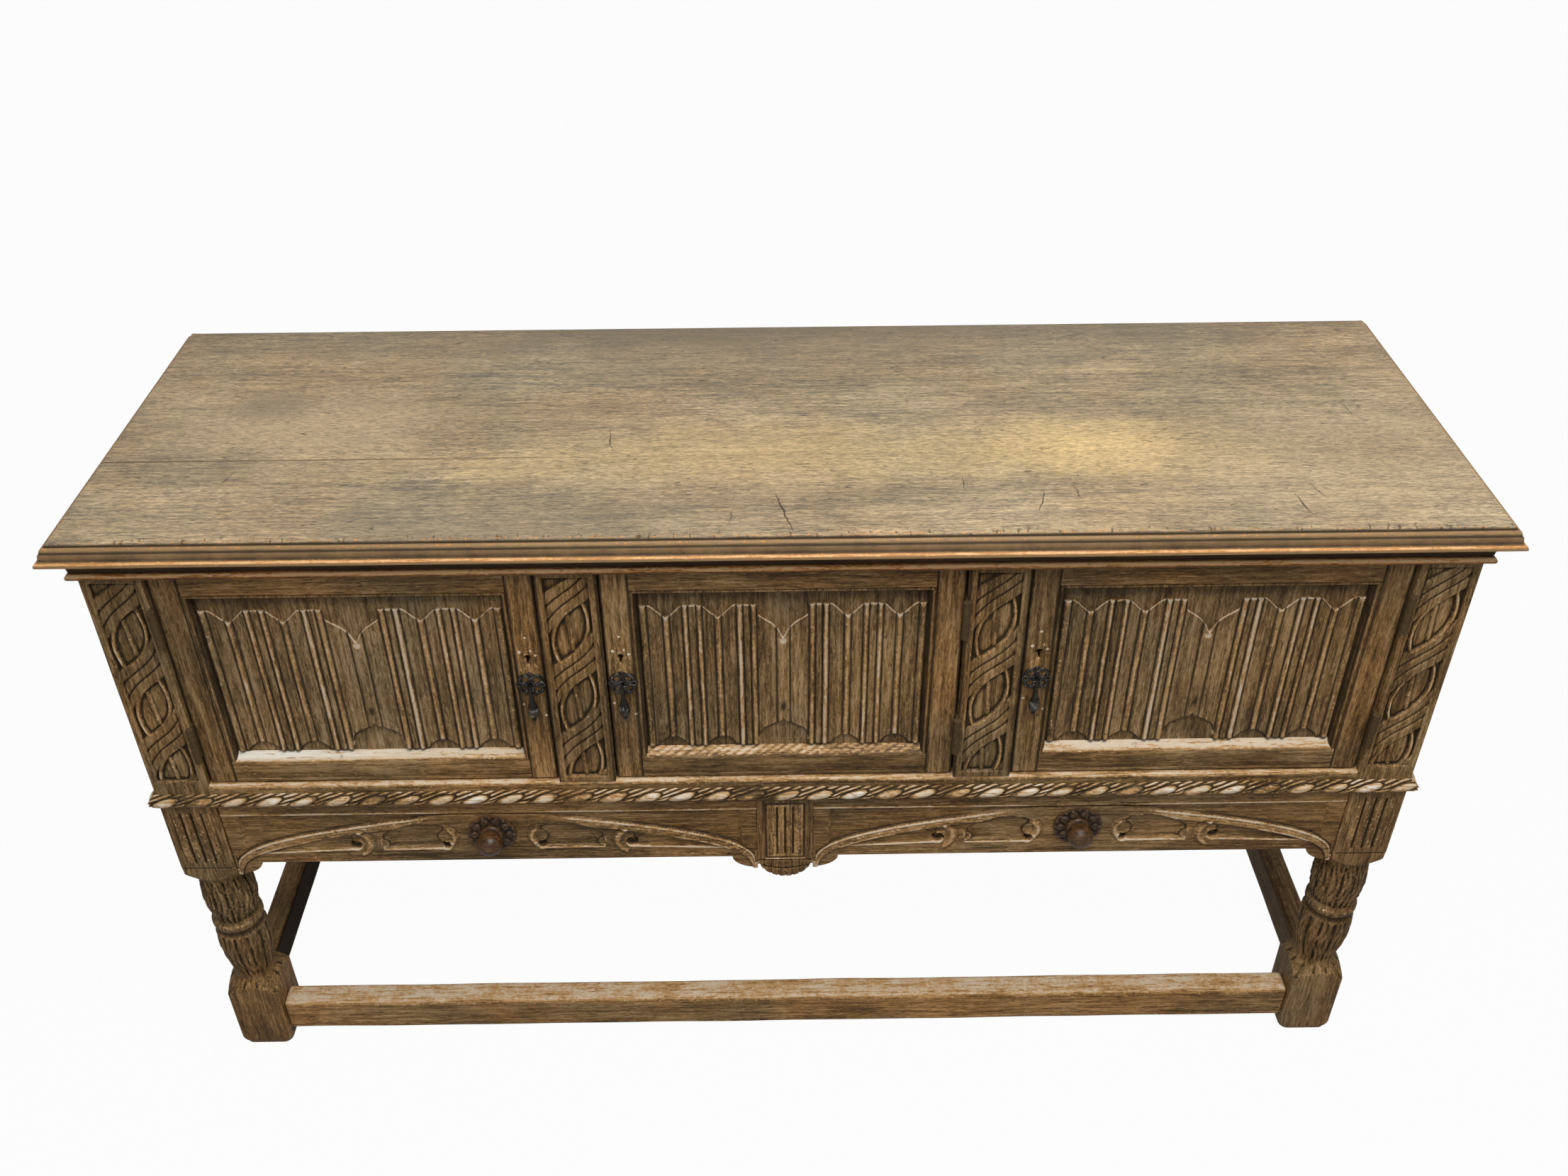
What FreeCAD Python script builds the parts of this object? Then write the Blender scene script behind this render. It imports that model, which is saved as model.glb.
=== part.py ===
"""Carved oak dresser base: three linenfold doors over two drawers, on turned legs. Millimetres, +Z up."""
import FreeCAD, Part
import math
import os
import Sketcher

# Driving sizes in millimetres. X runs to the right, Y to the back, and the floor is at zero.
SIZES = {
    # Overall
    "top_width": 1676,
    "top_depth": 535,
    "height": 915,
    # Planked top and its moulded edge
    "top_thick": 26,
    "overhang": 28,
    "back_overhang": 5,
    "front_board": 188,
    "edge_width": 26,
    "edge_step": 4,
    "edge_round": 14,
    "edge_under": 7,
    # Cornice under the top
    "cornice_height": 31,
    "cornice_reach": 20,
    "bead_height": 9,
    "bead_seat": 6.5,
    "bead_radius": 5.2,
    "cavetto_radius": 24,
    # Posts, with the turned part of the front legs
    "post": 72,
    "block_height": 120,
    "pommel": 24,
    "neck_radius": 30,
    "cover_curve": 200,
    "ring_top": 256,
    "ring_low": 242,
    "ring_bevel": 3,
    "ring_radius": 35,
    "waist_radius": 31,
    "cup_top": 234,
    "cup_lip": 230,
    "cup_radius": 34.5,
    "belly_height": 206,
    "belly_radius": 35.7,
    "ankle_height": 136,
    "ankle_radius": 27,
    "foot_top": 108,
    # Sunk fields for the carving on posts, muntins and centre block
    "field_depth": 4,
    "field_margin": 9,
    "flute_margin": 14,
    "flute_rise": 15,
    # Front rails and muntins
    "sill_height": 527,
    "rail_height": 38,
    "rail_depth": 40,
    "nosing": 6,
    "muntin_width": 72,
    "muntin_centre": 252.5,
    "muntin_thick": 28,
    "stop_depth": 22,
    "stop_drop": 12,
    "stop_play": 0.3,
    # Rope moulding
    "rope_drop": 12.5,
    "rope_height": 22,
    "rope_seat": 2.5,
    "rope_radius": 11.6,
    # Sides and back
    "side_setback": 5,
    "side_rail": 24,
    "side_top_rail": 60,
    "side_bottom_rail": 156,
    "side_panel": 7,
    "tongue": 8,
    "groove_play": 0.3,
    "back_inset": 8,
    "back_panel": 8,
    "back_rail": 22,
    "back_top_rail": 40,
    "floor_thick": 18,
    "partition": 18,
    # Centre block between the drawers
    "block_width": 72,
    "block_depth": 45,
    "pendant_width": 68,
    "pendant_radius": 37,
    "bearer": 50,
    # Drawers
    "drawer_setback": 2.5,
    "drawer_gap": 1.5,
    "drawer_front": 20,
    "drawer_height": 94,
    "apron_drop": 12,
    "bracket_drop": 21,
    "bracket_width": 30,
    "bracket_tip": 8,
    "bracket_radius": 24,
    "drawer_side": 12,
    "drawer_tail_gap": 11.5,
    "drawer_side_drop": 3,
    "drawer_base": 6,
    "drawer_base_rise": 10,
    "drawer_base_groove": 5,
    "drawer_back": 10,
    "runner_rise": 12,
    "runner_height": 14,
    "runner_width": 16,
    "runner_play": 0.3,
    "knob_drop": 53,
    "rosette_radius": 33,
    "rosette_thick": 5,
    "knob_neck": 7,
    "knob_radius": 19,
    "knob_reach": 28,
    "knob_rim": 4,
    "knob_cap": 10,
    "knob_neck_length": 11,
    # Tracery sunk in the drawer fronts, measured from the front's ends and edges
    "tracery_depth": 5,
    "tracery_margin": 14,
    "arch_border": 16,
    "arch_foot": 9,
    "arch_crown": 110,
    "arch_radius": 700,
    "dagger_foot": 11,
    "dagger_start": 84,
    "dagger_end": 152,
    "dagger_height": 24,
    "light_start": 174,
    "light_end": 268,
    "light_height": 42,
    "light_round": 24,
    # Doors
    "door_setback": 6,
    "door_thick": 22,
    "hinge_gap": 2.6,
    "lock_gap": 2,
    "door_gap": 2,
    "stile": 41,
    "door_top_rail": 38,
    "door_bottom_rail": 42,
    "sill_depth": 12,
    "sill_slope": 9,
    "stile_chamfer": 5,
    # Linenfold panels
    "ground_setback": 13,
    "ground_thick": 6,
    "fold_base": 4,
    "fold_top_margin": 20,
    "fold_bottom_margin": 3,
    "scallop_width": 56,
    "scallop_depth": 16,
    "centre_fold_width": 64,
    "centre_fold_depth": 36,
    # Butt hinges
    "hinge_length": 54,
    "hinge_inset": 72,
    "leaf_width": 24,
    "leaf_play": 0.4,
    "knuckle_radius": 4.5,
    "knuckle_gap": 0.15,
    "pin_radius": 2,
    "pin_play": 0.05,
    # Locks
    "lock_rise": 201,
    "lock_edge": 18,
    "lock_width": 30,
    "lock_tall": 44,
    "lock_thick": 9,
    "key_radius": 3,
    "key_slot": 2.6,
    "key_drop": 8,
    "bolt_tall": 12,
    "bolt_thick": 5,
    "bolt_length": 19,
    "bolt_throw": 8,
    "bolt_inset": 0.5,
    "bolt_play": 0.3,
    # Pear drop handles
    "plate_rise": 160,
    "plate_thick": 2,
    "plate_cusp": 9.3,
    "plate_lobe": 9.6,
    "pierce": 3.3,
    "pierce_reach": 9.5,
    "ear_gap": 5.6,
    "ear_thick": 2,
    "ear_tall": 7,
    "eye_reach": 6.5,
    "eye_radius": 3.6,
    "eye_width": 5,
    "handle_pin": 1.5,
    "handle_play": 0.06,
    "stem_radius": 2.2,
    "stem_length": 14,
    "pear_radius": 7.2,
    "pear_height": 40,
    "pear_round": 5,
    "finial_radius": 2,
    "drop_length": 54,
    # Stretchers
    "stretcher_low": 23,
    "stretcher_height": 58,
    "stretcher_width": 36,
    "stretcher_setback": 7.5,
    "stretcher_round": 9,
    # Overshoot of a cut past the wood's face
    "overcut": 10,
}

doc = FreeCAD.newDocument("dresser_base")
nodes = {}


class Size:
    """A length as an expression on the sheet's cells, with its present value."""

    def __init__(self, text, value):
        self.text = text
        self.value = value

    def __add__(self, other):
        other = as_size(other)
        return Size(f"({self.text} + {other.text})", self.value + other.value)

    def __sub__(self, other):
        other = as_size(other)
        return Size(f"({self.text} - {other.text})", self.value - other.value)

    def __rsub__(self, other):
        return as_size(other) - self

    def __mul__(self, factor):
        return Size(f"({self.text} * {factor})", self.value * factor)

    def __rmul__(self, factor):
        return self * factor

    def __truediv__(self, divisor):
        return Size(f"({self.text} / {divisor})", self.value / divisor)

    def __neg__(self):
        return self * -1


def as_size(length):
    return length if isinstance(length, Size) else Size(str(length), length)


class Cells:
    """The sheet's cells, each read by its alias."""

    def __getattr__(self, alias):
        return Size(f"dims.{alias}", SIZES[alias])


def make_sheet():
    sheet = doc.addObject("Spreadsheet::Sheet", "dims")
    for row, (alias, value) in enumerate(SIZES.items(), start=1):
        sheet.set(f"A{row}", alias)
        sheet.set(f"B{row}", str(value))
        sheet.setAlias(f"B{row}", alias)
    doc.recompute()


make_sheet()
d = Cells()

# Planes that several pieces share.
half = d.top_width / 2 - d.overhang
front = d.overhang - d.top_depth / 2
back = d.top_depth / 2 - d.back_overhang
under_top = d.height - d.top_thick
cornice_bottom = under_top - d.cornice_height
post_in = half - d.post
front_post_back = front + d.post
back_post_front = back - d.post
rail_bottom = d.sill_height - d.rail_height
rail_back = front + d.rail_depth
drawer_top = rail_bottom - d.door_gap
drawer_low = drawer_top - d.drawer_height
runner_top = drawer_low + d.runner_rise
block_bottom = rail_bottom - d.block_height
lock_height = d.sill_height + d.lock_rise
plate_height = d.sill_height + d.plate_rise
floor_top = rail_bottom + d.floor_thick
muntin_back = front + d.muntin_thick
door_face = front + d.door_setback
door_back = door_face + d.door_thick
stop_face = door_back + d.stop_play
stop_back = stop_face + d.stop_depth
stop_low = cornice_bottom - d.stop_drop
side_out = half - d.side_setback
side_in = side_out - d.side_rail
side_middle = side_out - d.side_rail / 2
side_sill = drawer_low + d.side_bottom_rail
side_head = under_top - d.side_top_rail
back_panel_back = back - d.back_inset
back_panel_front = back_panel_back - d.back_panel
back_rail_front = back_panel_front - d.back_rail
ground = door_face + d.ground_setback
ground_back = ground + d.ground_thick


def ordered(one, other):
    return (one, other) if one.value < other.value else (other, one)


# Helpers for solids made of primitives.

def block(label, x, y, z):
    """A squared piece between pairs of planes."""
    piece = doc.addObject("Part::Box", label)
    for length, axis, planes in (("Length", "x", x), ("Width", "y", y), ("Height", "z", z)):
        low, high = ordered(as_size(planes[0]), as_size(planes[1]))
        piece.setExpression(length, (high - low).text)
        piece.setExpression(f"Placement.Base.{axis}", low.text)
    return piece


def upright_cylinder(label, x, y, z, radius):
    """A round bar standing between two heights."""
    low, high = z
    piece = doc.addObject("Part::Cylinder", label)
    piece.setExpression("Radius", radius.text)
    piece.setExpression("Height", (high - low).text)
    for axis, place in (("x", x), ("y", y), ("z", low)):
        piece.setExpression(f"Placement.Base.{axis}", place.text)
    return piece


def fuse(label, *pieces):
    joined = doc.addObject("Part::MultiFuse", label)
    joined.Shapes = list(pieces)
    return joined


def cut(label, base, *tools):
    piece = doc.addObject("Part::Cut", label)
    piece.Base = base
    piece.Tool = tools[0] if len(tools) == 1 else fuse(f"{label}_waste", *tools)
    return piece


def group(label, *pieces):
    """Like pieces that share one node as separate solids."""
    pieces_together = doc.addObject("Part::Compound", label)
    pieces_together.Links = list(pieces)
    return pieces_together


def node(label, piece):
    piece.Label = label
    nodes[label] = piece
    return piece


# Helpers for bodies made of sketches.

def arc_between(start, end, radius):
    """The shorter arc from start to end: centre on the left for a positive radius, else on the right."""
    middle = (start + end) * 0.5
    chord = end - start
    left = FreeCAD.Vector(-chord.y, chord.x, 0).normalize()
    rise = math.sqrt(radius * radius - chord.Length * chord.Length / 4)
    centre = middle + left * (rise if radius > 0 else -rise)
    circle = Part.Circle(centre, FreeCAD.Vector(0, 0, 1), abs(radius))
    first, last = (start, end) if radius > 0 else (end, start)
    first_angle = math.atan2(first.y - centre.y, first.x - centre.x)
    last_angle = math.atan2(last.y - centre.y, last.x - centre.x)
    if last_angle < first_angle:
        last_angle += 2 * math.pi
    return Part.ArcOfCircle(circle, first_angle, last_angle)


def bind_constraint(sketch, constraint, length):
    index = sketch.addConstraint(constraint)
    if "dims." in length.text:
        sketch.setExpression(f"Constraints[{index}]", length.text)


def draw(sketch, outline):
    """Closes an outline of corners (u, v); a third item is the radius of the arc that leaves the corner."""
    corners = [(as_size(corner[0]), as_size(corner[1])) for corner in outline]
    points = [FreeCAD.Vector(u.value, v.value, 0) for u, v in corners]
    first = sketch.GeometryCount
    count = len(outline)
    start_ends = []
    for index, corner in enumerate(outline):
        start = points[index]
        end = points[(index + 1) % count]
        if len(corner) == 2:
            sketch.addGeometry(Part.LineSegment(start, end))
            start_ends.append((1, 2))
        else:
            sketch.addGeometry(arc_between(start, end, corner[2].value))
            start_ends.append((1, 2) if corner[2].value > 0 else (2, 1))
    joints = []
    for index in range(count):
        following = (index + 1) % count
        ends = (first + index, start_ends[index][1], first + following, start_ends[following][0])
        joints.append(Sketcher.Constraint("Coincident", *ends))
    sketch.addConstraint(joints)
    for index, (u, v) in enumerate(corners):
        end = (first + index, start_ends[index][0])
        bind_constraint(sketch, Sketcher.Constraint("DistanceX", -1, 1, *end, u.value), u)
        bind_constraint(sketch, Sketcher.Constraint("DistanceY", -1, 1, *end, v.value), v)
        if len(outline[index]) == 3:
            radius = outline[index][2]
            radius = radius if radius.value > 0 else -radius
            bind_constraint(sketch, Sketcher.Constraint("Radius", first + index, radius.value), radius)


def draw_circle(sketch, u, v, radius):
    u, v = as_size(u), as_size(v)
    centre = FreeCAD.Vector(u.value, v.value, 0)
    index = sketch.addGeometry(Part.Circle(centre, FreeCAD.Vector(0, 0, 1), radius.value))
    bind_constraint(sketch, Sketcher.Constraint("DistanceX", -1, 1, index, 3, u.value), u)
    bind_constraint(sketch, Sketcher.Constraint("DistanceY", -1, 1, index, 3, v.value), v)
    bind_constraint(sketch, Sketcher.Constraint("Radius", index, radius.value), radius)


def rectangle(u, v):
    return [(u[0], v[0]), (u[1], v[0]), (u[1], v[1]), (u[0], v[1])]


def polygon(radius, sides):
    """A regular outline with its corners on a circle about the origin."""
    outline = []
    for corner in range(sides):
        angle = 2 * math.pi * (corner + 0.5) / sides
        outline.append((radius * round(math.cos(angle), 6), radius * round(math.sin(angle), 6)))
    return outline


def new_body(label, x=None, y=None, z=None):
    body = doc.addObject("PartDesign::Body", label)
    for axis, place in (("x", x), ("y", y), ("z", z)):
        if place is not None:
            body.setExpression(f"Placement.Base.{axis}", place.text)
    return body


def new_sketch(body, plane, lift, outlines):
    """A sketch on one of the body's origin planes, lifted along that plane's normal."""
    sketch = body.newObject("Sketcher::SketchObject", f"{body.Name}_sketch")
    support = [item for item in body.Origin.OriginFeatures if item.Role == plane]
    sketch.AttachmentSupport = [(support[0], "")]
    sketch.MapMode = "FlatFace"
    if lift is not None:
        sketch.setExpression("AttachmentOffset.Base.z", lift.text)
    for outline in outlines:
        if isinstance(outline, tuple):
            draw_circle(sketch, *outline)
        else:
            draw(sketch, outline)
    return sketch


def pad(body, plane, reach, *outlines):
    """Wood between two planes: the sketch lies on the one that its normal leaves."""
    low, high = (as_size(end) for end in reach)
    lift = -high if plane == "XZ_Plane" else low
    feature = body.newObject("PartDesign::Pad", f"{body.Name}_pad")
    feature.Profile = new_sketch(body, plane, lift, outlines)
    feature.setExpression("Length", (high - low).text)
    return feature


def pocket(body, plane, reach, *outlines):
    """A cut between two planes: it runs against the sketch's normal."""
    low, high = (as_size(end) for end in reach)
    lift = -low if plane == "XZ_Plane" else high
    feature = body.newObject("PartDesign::Pocket", f"{body.Name}_pocket")
    feature.Profile = new_sketch(body, plane, lift, outlines)
    feature.setExpression("Length", (high - low).text)
    return feature


def turn(body, kind, plane, outline):
    """A full turn of the outline about the sketch's upright axis."""
    feature = body.newObject(f"PartDesign::{kind}", f"{body.Name}_turning")
    sketch = new_sketch(body, plane, None, [outline])
    feature.Profile = sketch
    feature.ReferenceAxis = (sketch, ["V_Axis"])
    feature.Angle = 360
    return feature


def repeat_round(body, feature, sketch, count):
    """Copies a feature evenly round the normal of a sketch."""
    pattern = body.newObject("PartDesign::PolarPattern", f"{body.Name}_pattern")
    pattern.Originals = [feature]
    pattern.Axis = (sketch, ["N_Axis"])
    pattern.Angle = 360
    pattern.Occurrences = count
    body.Tip = pattern
    return pattern


def mirror(body, *features):
    """Copies the features across the body's own middle plane."""
    feature = body.newObject("PartDesign::Mirrored", f"{body.Name}_mirror")
    feature.Originals = list(features)
    plane = [item for item in body.Origin.OriginFeatures if item.Role == "YZ_Plane"]
    feature.MirrorPlane = (plane[0], [""])
    body.Tip = feature
    return feature


# Top and mouldings.

def top_section():
    """The top across its width, with a step, a round and an under-round on both side edges."""
    edge = d.top_width / 2
    shoulder = d.height - d.edge_step
    return [
        (-edge + d.edge_under, under_top),
        (edge - d.edge_under, under_top, d.edge_under),
        (edge, under_top + d.edge_under),
        (edge, shoulder - d.edge_round, d.edge_round),
        (edge - d.edge_round, shoulder),
        (edge - d.edge_width, shoulder),
        (edge - d.edge_width, d.height),
        (-edge + d.edge_width, d.height),
        (-edge + d.edge_width, shoulder),
        (-edge + d.edge_round, shoulder, d.edge_round),
        (-edge, shoulder - d.edge_round),
        (-edge, under_top + d.edge_under, d.edge_under),
    ]


def front_edge_waste():
    """What the moulding plane takes off the front edge, in the plane across the top's depth."""
    lip = -d.top_depth / 2
    shoulder = d.height - d.edge_step
    return [
        (lip + d.edge_width, d.height + d.overcut),
        (lip - d.overcut, d.height + d.overcut),
        (lip - d.overcut, under_top - d.overcut),
        (lip + d.edge_under, under_top - d.overcut),
        (lip + d.edge_under, under_top, -d.edge_under),
        (lip, under_top + d.edge_under),
        (lip, shoulder - d.edge_round, -d.edge_round),
        (lip + d.edge_round, shoulder),
        (lip + d.edge_width, shoulder),
    ]


def make_top():
    lip = -d.top_depth / 2
    joint = lip + d.front_board
    front_board = new_body("top_front_board")
    pad(front_board, "XZ_Plane", (lip, joint), top_section())
    ends = (-d.top_width / 2 - d.overcut, d.top_width / 2 + d.overcut)
    pocket(front_board, "YZ_Plane", ends, front_edge_waste())
    node("top_front_board", front_board)
    back_board = new_body("top_back_board")
    pad(back_board, "XZ_Plane", (joint, d.top_depth / 2), top_section())
    node("top_back_board", back_board)


def make_moulding(label, section, reach):
    """A moulding planted round the front and sides in three mitred lengths.

    The section is drawn as reach out from the wood, height and arc radius.
    """
    edge = half + reach
    brow = front - reach
    top = section[0][1] - d.overcut
    bottom = section[-1][1] + d.overcut

    def run(base, side):
        outline = []
        for corner in section:
            place = (base + side * as_size(corner[0]), corner[1])
            bend = (side * corner[2],) if len(corner) == 3 else ()
            outline.append(place + bend)
        return outline

    front_run = new_body(f"{label}_front")
    pad(front_run, "YZ_Plane", (-edge, edge), run(front, -1))
    left_mitre = [(-edge, brow), (-half, front), (-edge, front)]
    right_mitre = [(edge, brow), (edge, front), (half, front)]
    pocket(front_run, "XY_Plane", (top, bottom), left_mitre, right_mitre)
    left_run = new_body(f"{label}_left")
    pad(left_run, "XZ_Plane", (brow, back), run(-half, -1))
    pocket(left_run, "XY_Plane", (top, bottom), [(-edge, brow), (-half, brow), (-half, front)])
    right_run = new_body(f"{label}_right")
    pad(right_run, "XZ_Plane", (brow, back), run(half, 1))
    pocket(right_run, "XY_Plane", (top, bottom), [(half, brow), (edge, brow), (half, front)])
    node(label, group(label, front_run, left_run, right_run))


def make_mouldings():
    bead_top = cornice_bottom + d.bead_height
    cornice = [
        (0, cornice_bottom),
        (d.bead_seat, cornice_bottom, d.bead_radius),
        (d.bead_seat, bead_top, -d.cavetto_radius),
        (d.cornice_reach, under_top),
        (0, under_top),
    ]
    make_moulding("cornice_moulding", cornice, d.cornice_reach)
    rope_top = d.sill_height - d.rope_drop
    rope_low = rope_top - d.rope_height
    rope = [
        (0, rope_low),
        (d.rope_seat, rope_low, d.rope_radius),
        (d.rope_seat, rope_top),
        (0, rope_top),
    ]
    make_moulding("rope_moulding", rope, d.rope_seat + d.rope_radius)


# Posts, rails and panels of the carcase.

def leg_waste():
    """What the lathe takes off the square stock between the upper block and the foot."""
    clear = d.neck_radius + d.pommel
    return [
        (clear, block_bottom),
        (d.neck_radius, block_bottom - d.pommel, -d.cover_curve),
        (d.waist_radius, d.ring_top),
        (d.ring_radius, d.ring_top - d.ring_bevel),
        (d.ring_radius, d.ring_low + d.ring_bevel),
        (d.waist_radius, d.ring_low),
        (d.waist_radius, d.cup_top),
        (d.cup_radius, d.cup_lip),
        (d.belly_radius, d.belly_height),
        (d.ankle_radius, d.ankle_height),
        (clear, d.foot_top),
    ]


def make_post(label, side, is_front):
    """A post from the floor to the underside of the top."""
    middle = (front + front_post_back) / 2 if is_front else (back + back_post_front) / 2
    face = d.post / 2
    body = new_body(label, x=side * (half - d.post / 2), y=middle)
    pad(body, "XY_Plane", (0, under_top), rectangle((-face, face), (-face, face)))
    if is_front:
        turn(body, "Groove", "XZ_Plane", leg_waste())
        sunk = (-face, d.field_depth - face)
        field = face - d.field_margin
        field_ends = (d.sill_height + d.field_margin, cornice_bottom - d.field_margin)
        pocket(body, "XZ_Plane", sunk, rectangle((-field, field), field_ends))
        flutes = face - d.flute_margin
        flute_ends = (block_bottom + d.flute_rise, rail_bottom - d.field_margin)
        pocket(body, "XZ_Plane", sunk, rectangle((-flutes, flutes), flute_ends))
    slot = d.side_panel / 2 + d.groove_play
    slot_middle = side * (side_middle - half + face)
    slot_depth = d.tongue + d.groove_play
    slot_reach = (face - slot_depth, face) if is_front else (-face, slot_depth - face)
    slot_ends = (side_sill - slot_depth, side_head + slot_depth)
    pocket(body, "XZ_Plane", slot_reach, rectangle((slot_middle - slot, slot_middle + slot), slot_ends))
    node(label, body)


def make_muntin(label, side, bolt_sides):
    """A carved pilaster between two doors, with a mortice for each bolt that shoots into it."""
    middle = side * d.muntin_centre
    face = d.muntin_width / 2
    body = new_body(label, x=middle)
    pad(body, "XY_Plane", (d.sill_height, cornice_bottom), rectangle((-face, face), (front, muntin_back)))
    field = face - d.field_margin
    field_ends = (d.sill_height + d.field_margin, cornice_bottom - d.field_margin)
    pocket(body, "XZ_Plane", (front, front + d.field_depth), rectangle((-field, field), field_ends))
    depth = d.bolt_throw + d.bolt_play
    tall = d.bolt_tall / 2 + d.bolt_play
    mortice_ends = (lock_height - tall, lock_height + tall)
    thick = d.bolt_thick / 2 + d.bolt_play
    bolt_middle = door_back - d.lock_thick / 2
    mortice_reach = (bolt_middle - thick, bolt_middle + thick)
    for bolt_side in bolt_sides:
        mouth, end = ordered(bolt_side * face, bolt_side * (face - depth))
        pocket(body, "XZ_Plane", mortice_reach, rectangle((mouth, end), mortice_ends))
    node(label, body)


def make_front_rails():
    across = (-post_in, post_in)
    rail = block("top_rail_board", across, (front, stop_face), (cornice_bottom, under_top))
    stop = block("door_stop", across, (stop_face, stop_back), (stop_low, under_top))
    node("top_rail", group("top_rail", rail, stop))
    bottom_rail = new_body("bottom_rail")
    pad(bottom_rail, "YZ_Plane", across, [
        (front, rail_bottom),
        (rail_back, rail_bottom),
        (rail_back, d.sill_height),
        (front + d.nosing, d.sill_height, d.nosing),
        (front, d.sill_height - d.nosing),
    ])
    node("bottom_rail", bottom_rail)


def make_sides():
    """Grooved side rails between the posts, with a plain panel held in the grooves."""
    span = (front_post_back, back_post_front)
    rails = []
    for name, side in (("left", -1), ("right", 1)):
        slot = d.side_panel / 2 + d.groove_play
        slot_x = (side * (side_middle - slot), side * (side_middle + slot))
        rail_x = (side * side_in, side * side_out)
        depth = d.tongue + d.groove_play
        for place, ends, slot_ends in (
            ("upper", (side_head, under_top), (side_head, side_head + depth)),
            ("lower", (drawer_low, side_sill), (side_sill - depth, side_sill)),
        ):
            stock = block(f"side_rail_stock_{name}_{place}", rail_x, span, ends)
            slot_waste = block(f"side_rail_groove_{name}_{place}", slot_x, span, slot_ends)
            rails.append(cut(f"side_rail_{name}_{place}", stock, slot_waste))
        panel_x = (side * (side_middle - d.side_panel / 2), side * (side_middle + d.side_panel / 2))
        panel_y = (front_post_back - d.tongue, back_post_front + d.tongue)
        panel_z = (side_sill - d.tongue, side_head + d.tongue)
        node(f"side_panel_{name}", block(f"side_panel_{name}", panel_x, panel_y, panel_z))
    node("side_rails", group("side_rails", *rails))


def make_back():
    across = (-post_in, post_in)
    panel = block("back_panel", across, (back_panel_front, back_panel_back), (rail_bottom, under_top))
    node("back_panel", panel)
    upper = block("back_rail_upper", across, (back_rail_front, back_panel_front),
                  (under_top - d.back_top_rail, under_top))
    lower = block("back_rail_lower", across, (back_rail_front, back_panel_back), (drawer_low, rail_bottom))
    node("back_rails", group("back_rails", upper, lower))


def make_cupboard_inside():
    """The floor notched round the posts, and a partition behind each muntin."""
    floor = new_body("cupboard_floor")
    right_edge = [
        (post_in, rail_back),
        (post_in, front_post_back),
        (side_in, front_post_back),
        (side_in, back_post_front),
        (post_in, back_post_front),
        (post_in, back_panel_front),
    ]
    left_edge = [(-x, y) for x, y in reversed(right_edge)]
    pad(floor, "XY_Plane", (rail_bottom, floor_top), right_edge + left_edge)
    node("cupboard_floor", floor)
    partitions = []
    for name, side in (("left", -1), ("right", 1)):
        board = new_body(f"partition_{name}", x=side * d.muntin_centre)
        pad(board, "YZ_Plane", (-d.partition / 2, d.partition / 2), [
            (rail_back, floor_top),
            (back_panel_front, floor_top),
            (back_panel_front, under_top - d.back_top_rail),
            (back_rail_front, under_top - d.back_top_rail),
            (back_rail_front, under_top),
            (stop_back, under_top),
            (stop_back, stop_low),
            (muntin_back, stop_low),
            (muntin_back, d.sill_height),
            (rail_back, d.sill_height),
        ])
        partitions.append(board)
    node("partitions", group("partitions", *partitions))


def make_centre_block():
    """The fluted block between the drawers, rounded below into its pendant, and the bearer behind it."""
    face = d.block_width / 2
    pendant = d.pendant_width / 2
    body = new_body("centre_block")
    pad(body, "XZ_Plane", (front, front + d.block_depth), [
        (-face, block_bottom),
        (-pendant, block_bottom, d.pendant_radius),
        (pendant, block_bottom),
        (face, block_bottom),
        (face, rail_bottom),
        (-face, rail_bottom),
    ])
    flutes = face - d.flute_margin
    flute_ends = (block_bottom + d.flute_rise, rail_bottom - d.field_margin)
    pocket(body, "XZ_Plane", (front, front + d.field_depth), rectangle((-flutes, flutes), flute_ends))
    node("centre_block", body)
    bearer_low = runner_top - d.runner_height
    bearer = block("centre_bearer", (-d.bearer / 2, d.bearer / 2),
                   (front + d.block_depth, back_rail_front), (bearer_low, rail_bottom))
    node("centre_bearer", bearer)


def make_runners():
    """Four runners: outer ones on the side rails, inner ones on the centre bearer."""
    runners = []
    heights = (runner_top - d.runner_height, runner_top)
    inner_edge = d.block_width / 2 + d.drawer_gap + d.runner_width
    outer_edge = post_in - d.drawer_gap - d.runner_width
    for name, side in (("left", -1), ("right", 1)):
        outer = block(f"runner_outer_{name}", (side * outer_edge, side * side_in),
                      (front_post_back, back_post_front), heights)
        inner = block(f"runner_inner_{name}", (side * d.bearer / 2, side * inner_edge),
                      (front + d.block_depth, back_rail_front), heights)
        runners += [outer, inner]
    node("drawer_runners", group("drawer_runners", *runners))


def make_stretchers():
    """Low rails between the feet, rounded on their upper edges."""
    low = d.stretcher_low
    high = low + d.stretcher_height

    def section(near, far):
        return [
            (near, low),
            (far, low),
            (far, high - d.stretcher_round, d.stretcher_round),
            (far - d.stretcher_round, high),
            (near + d.stretcher_round, high, d.stretcher_round),
            (near, high - d.stretcher_round),
        ]

    brow = front + d.stretcher_setback
    tail = back - d.stretcher_setback
    for label, near in (("stretcher_front", brow), ("stretcher_back", tail - d.stretcher_width)):
        body = new_body(label)
        pad(body, "YZ_Plane", (-post_in, post_in), section(near, near + d.stretcher_width))
        node(label, body)
    sides = []
    for name, near in (("left", -half), ("right", half - d.stretcher_width)):
        body = new_body(f"stretcher_{name}")
        pad(body, "XZ_Plane", (front_post_back, back_post_front), section(near, near + d.stretcher_width))
        sides.append(body)
    node("side_stretchers", group("side_stretchers", *sides))


# Drawers.

PETALS = 16


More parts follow.
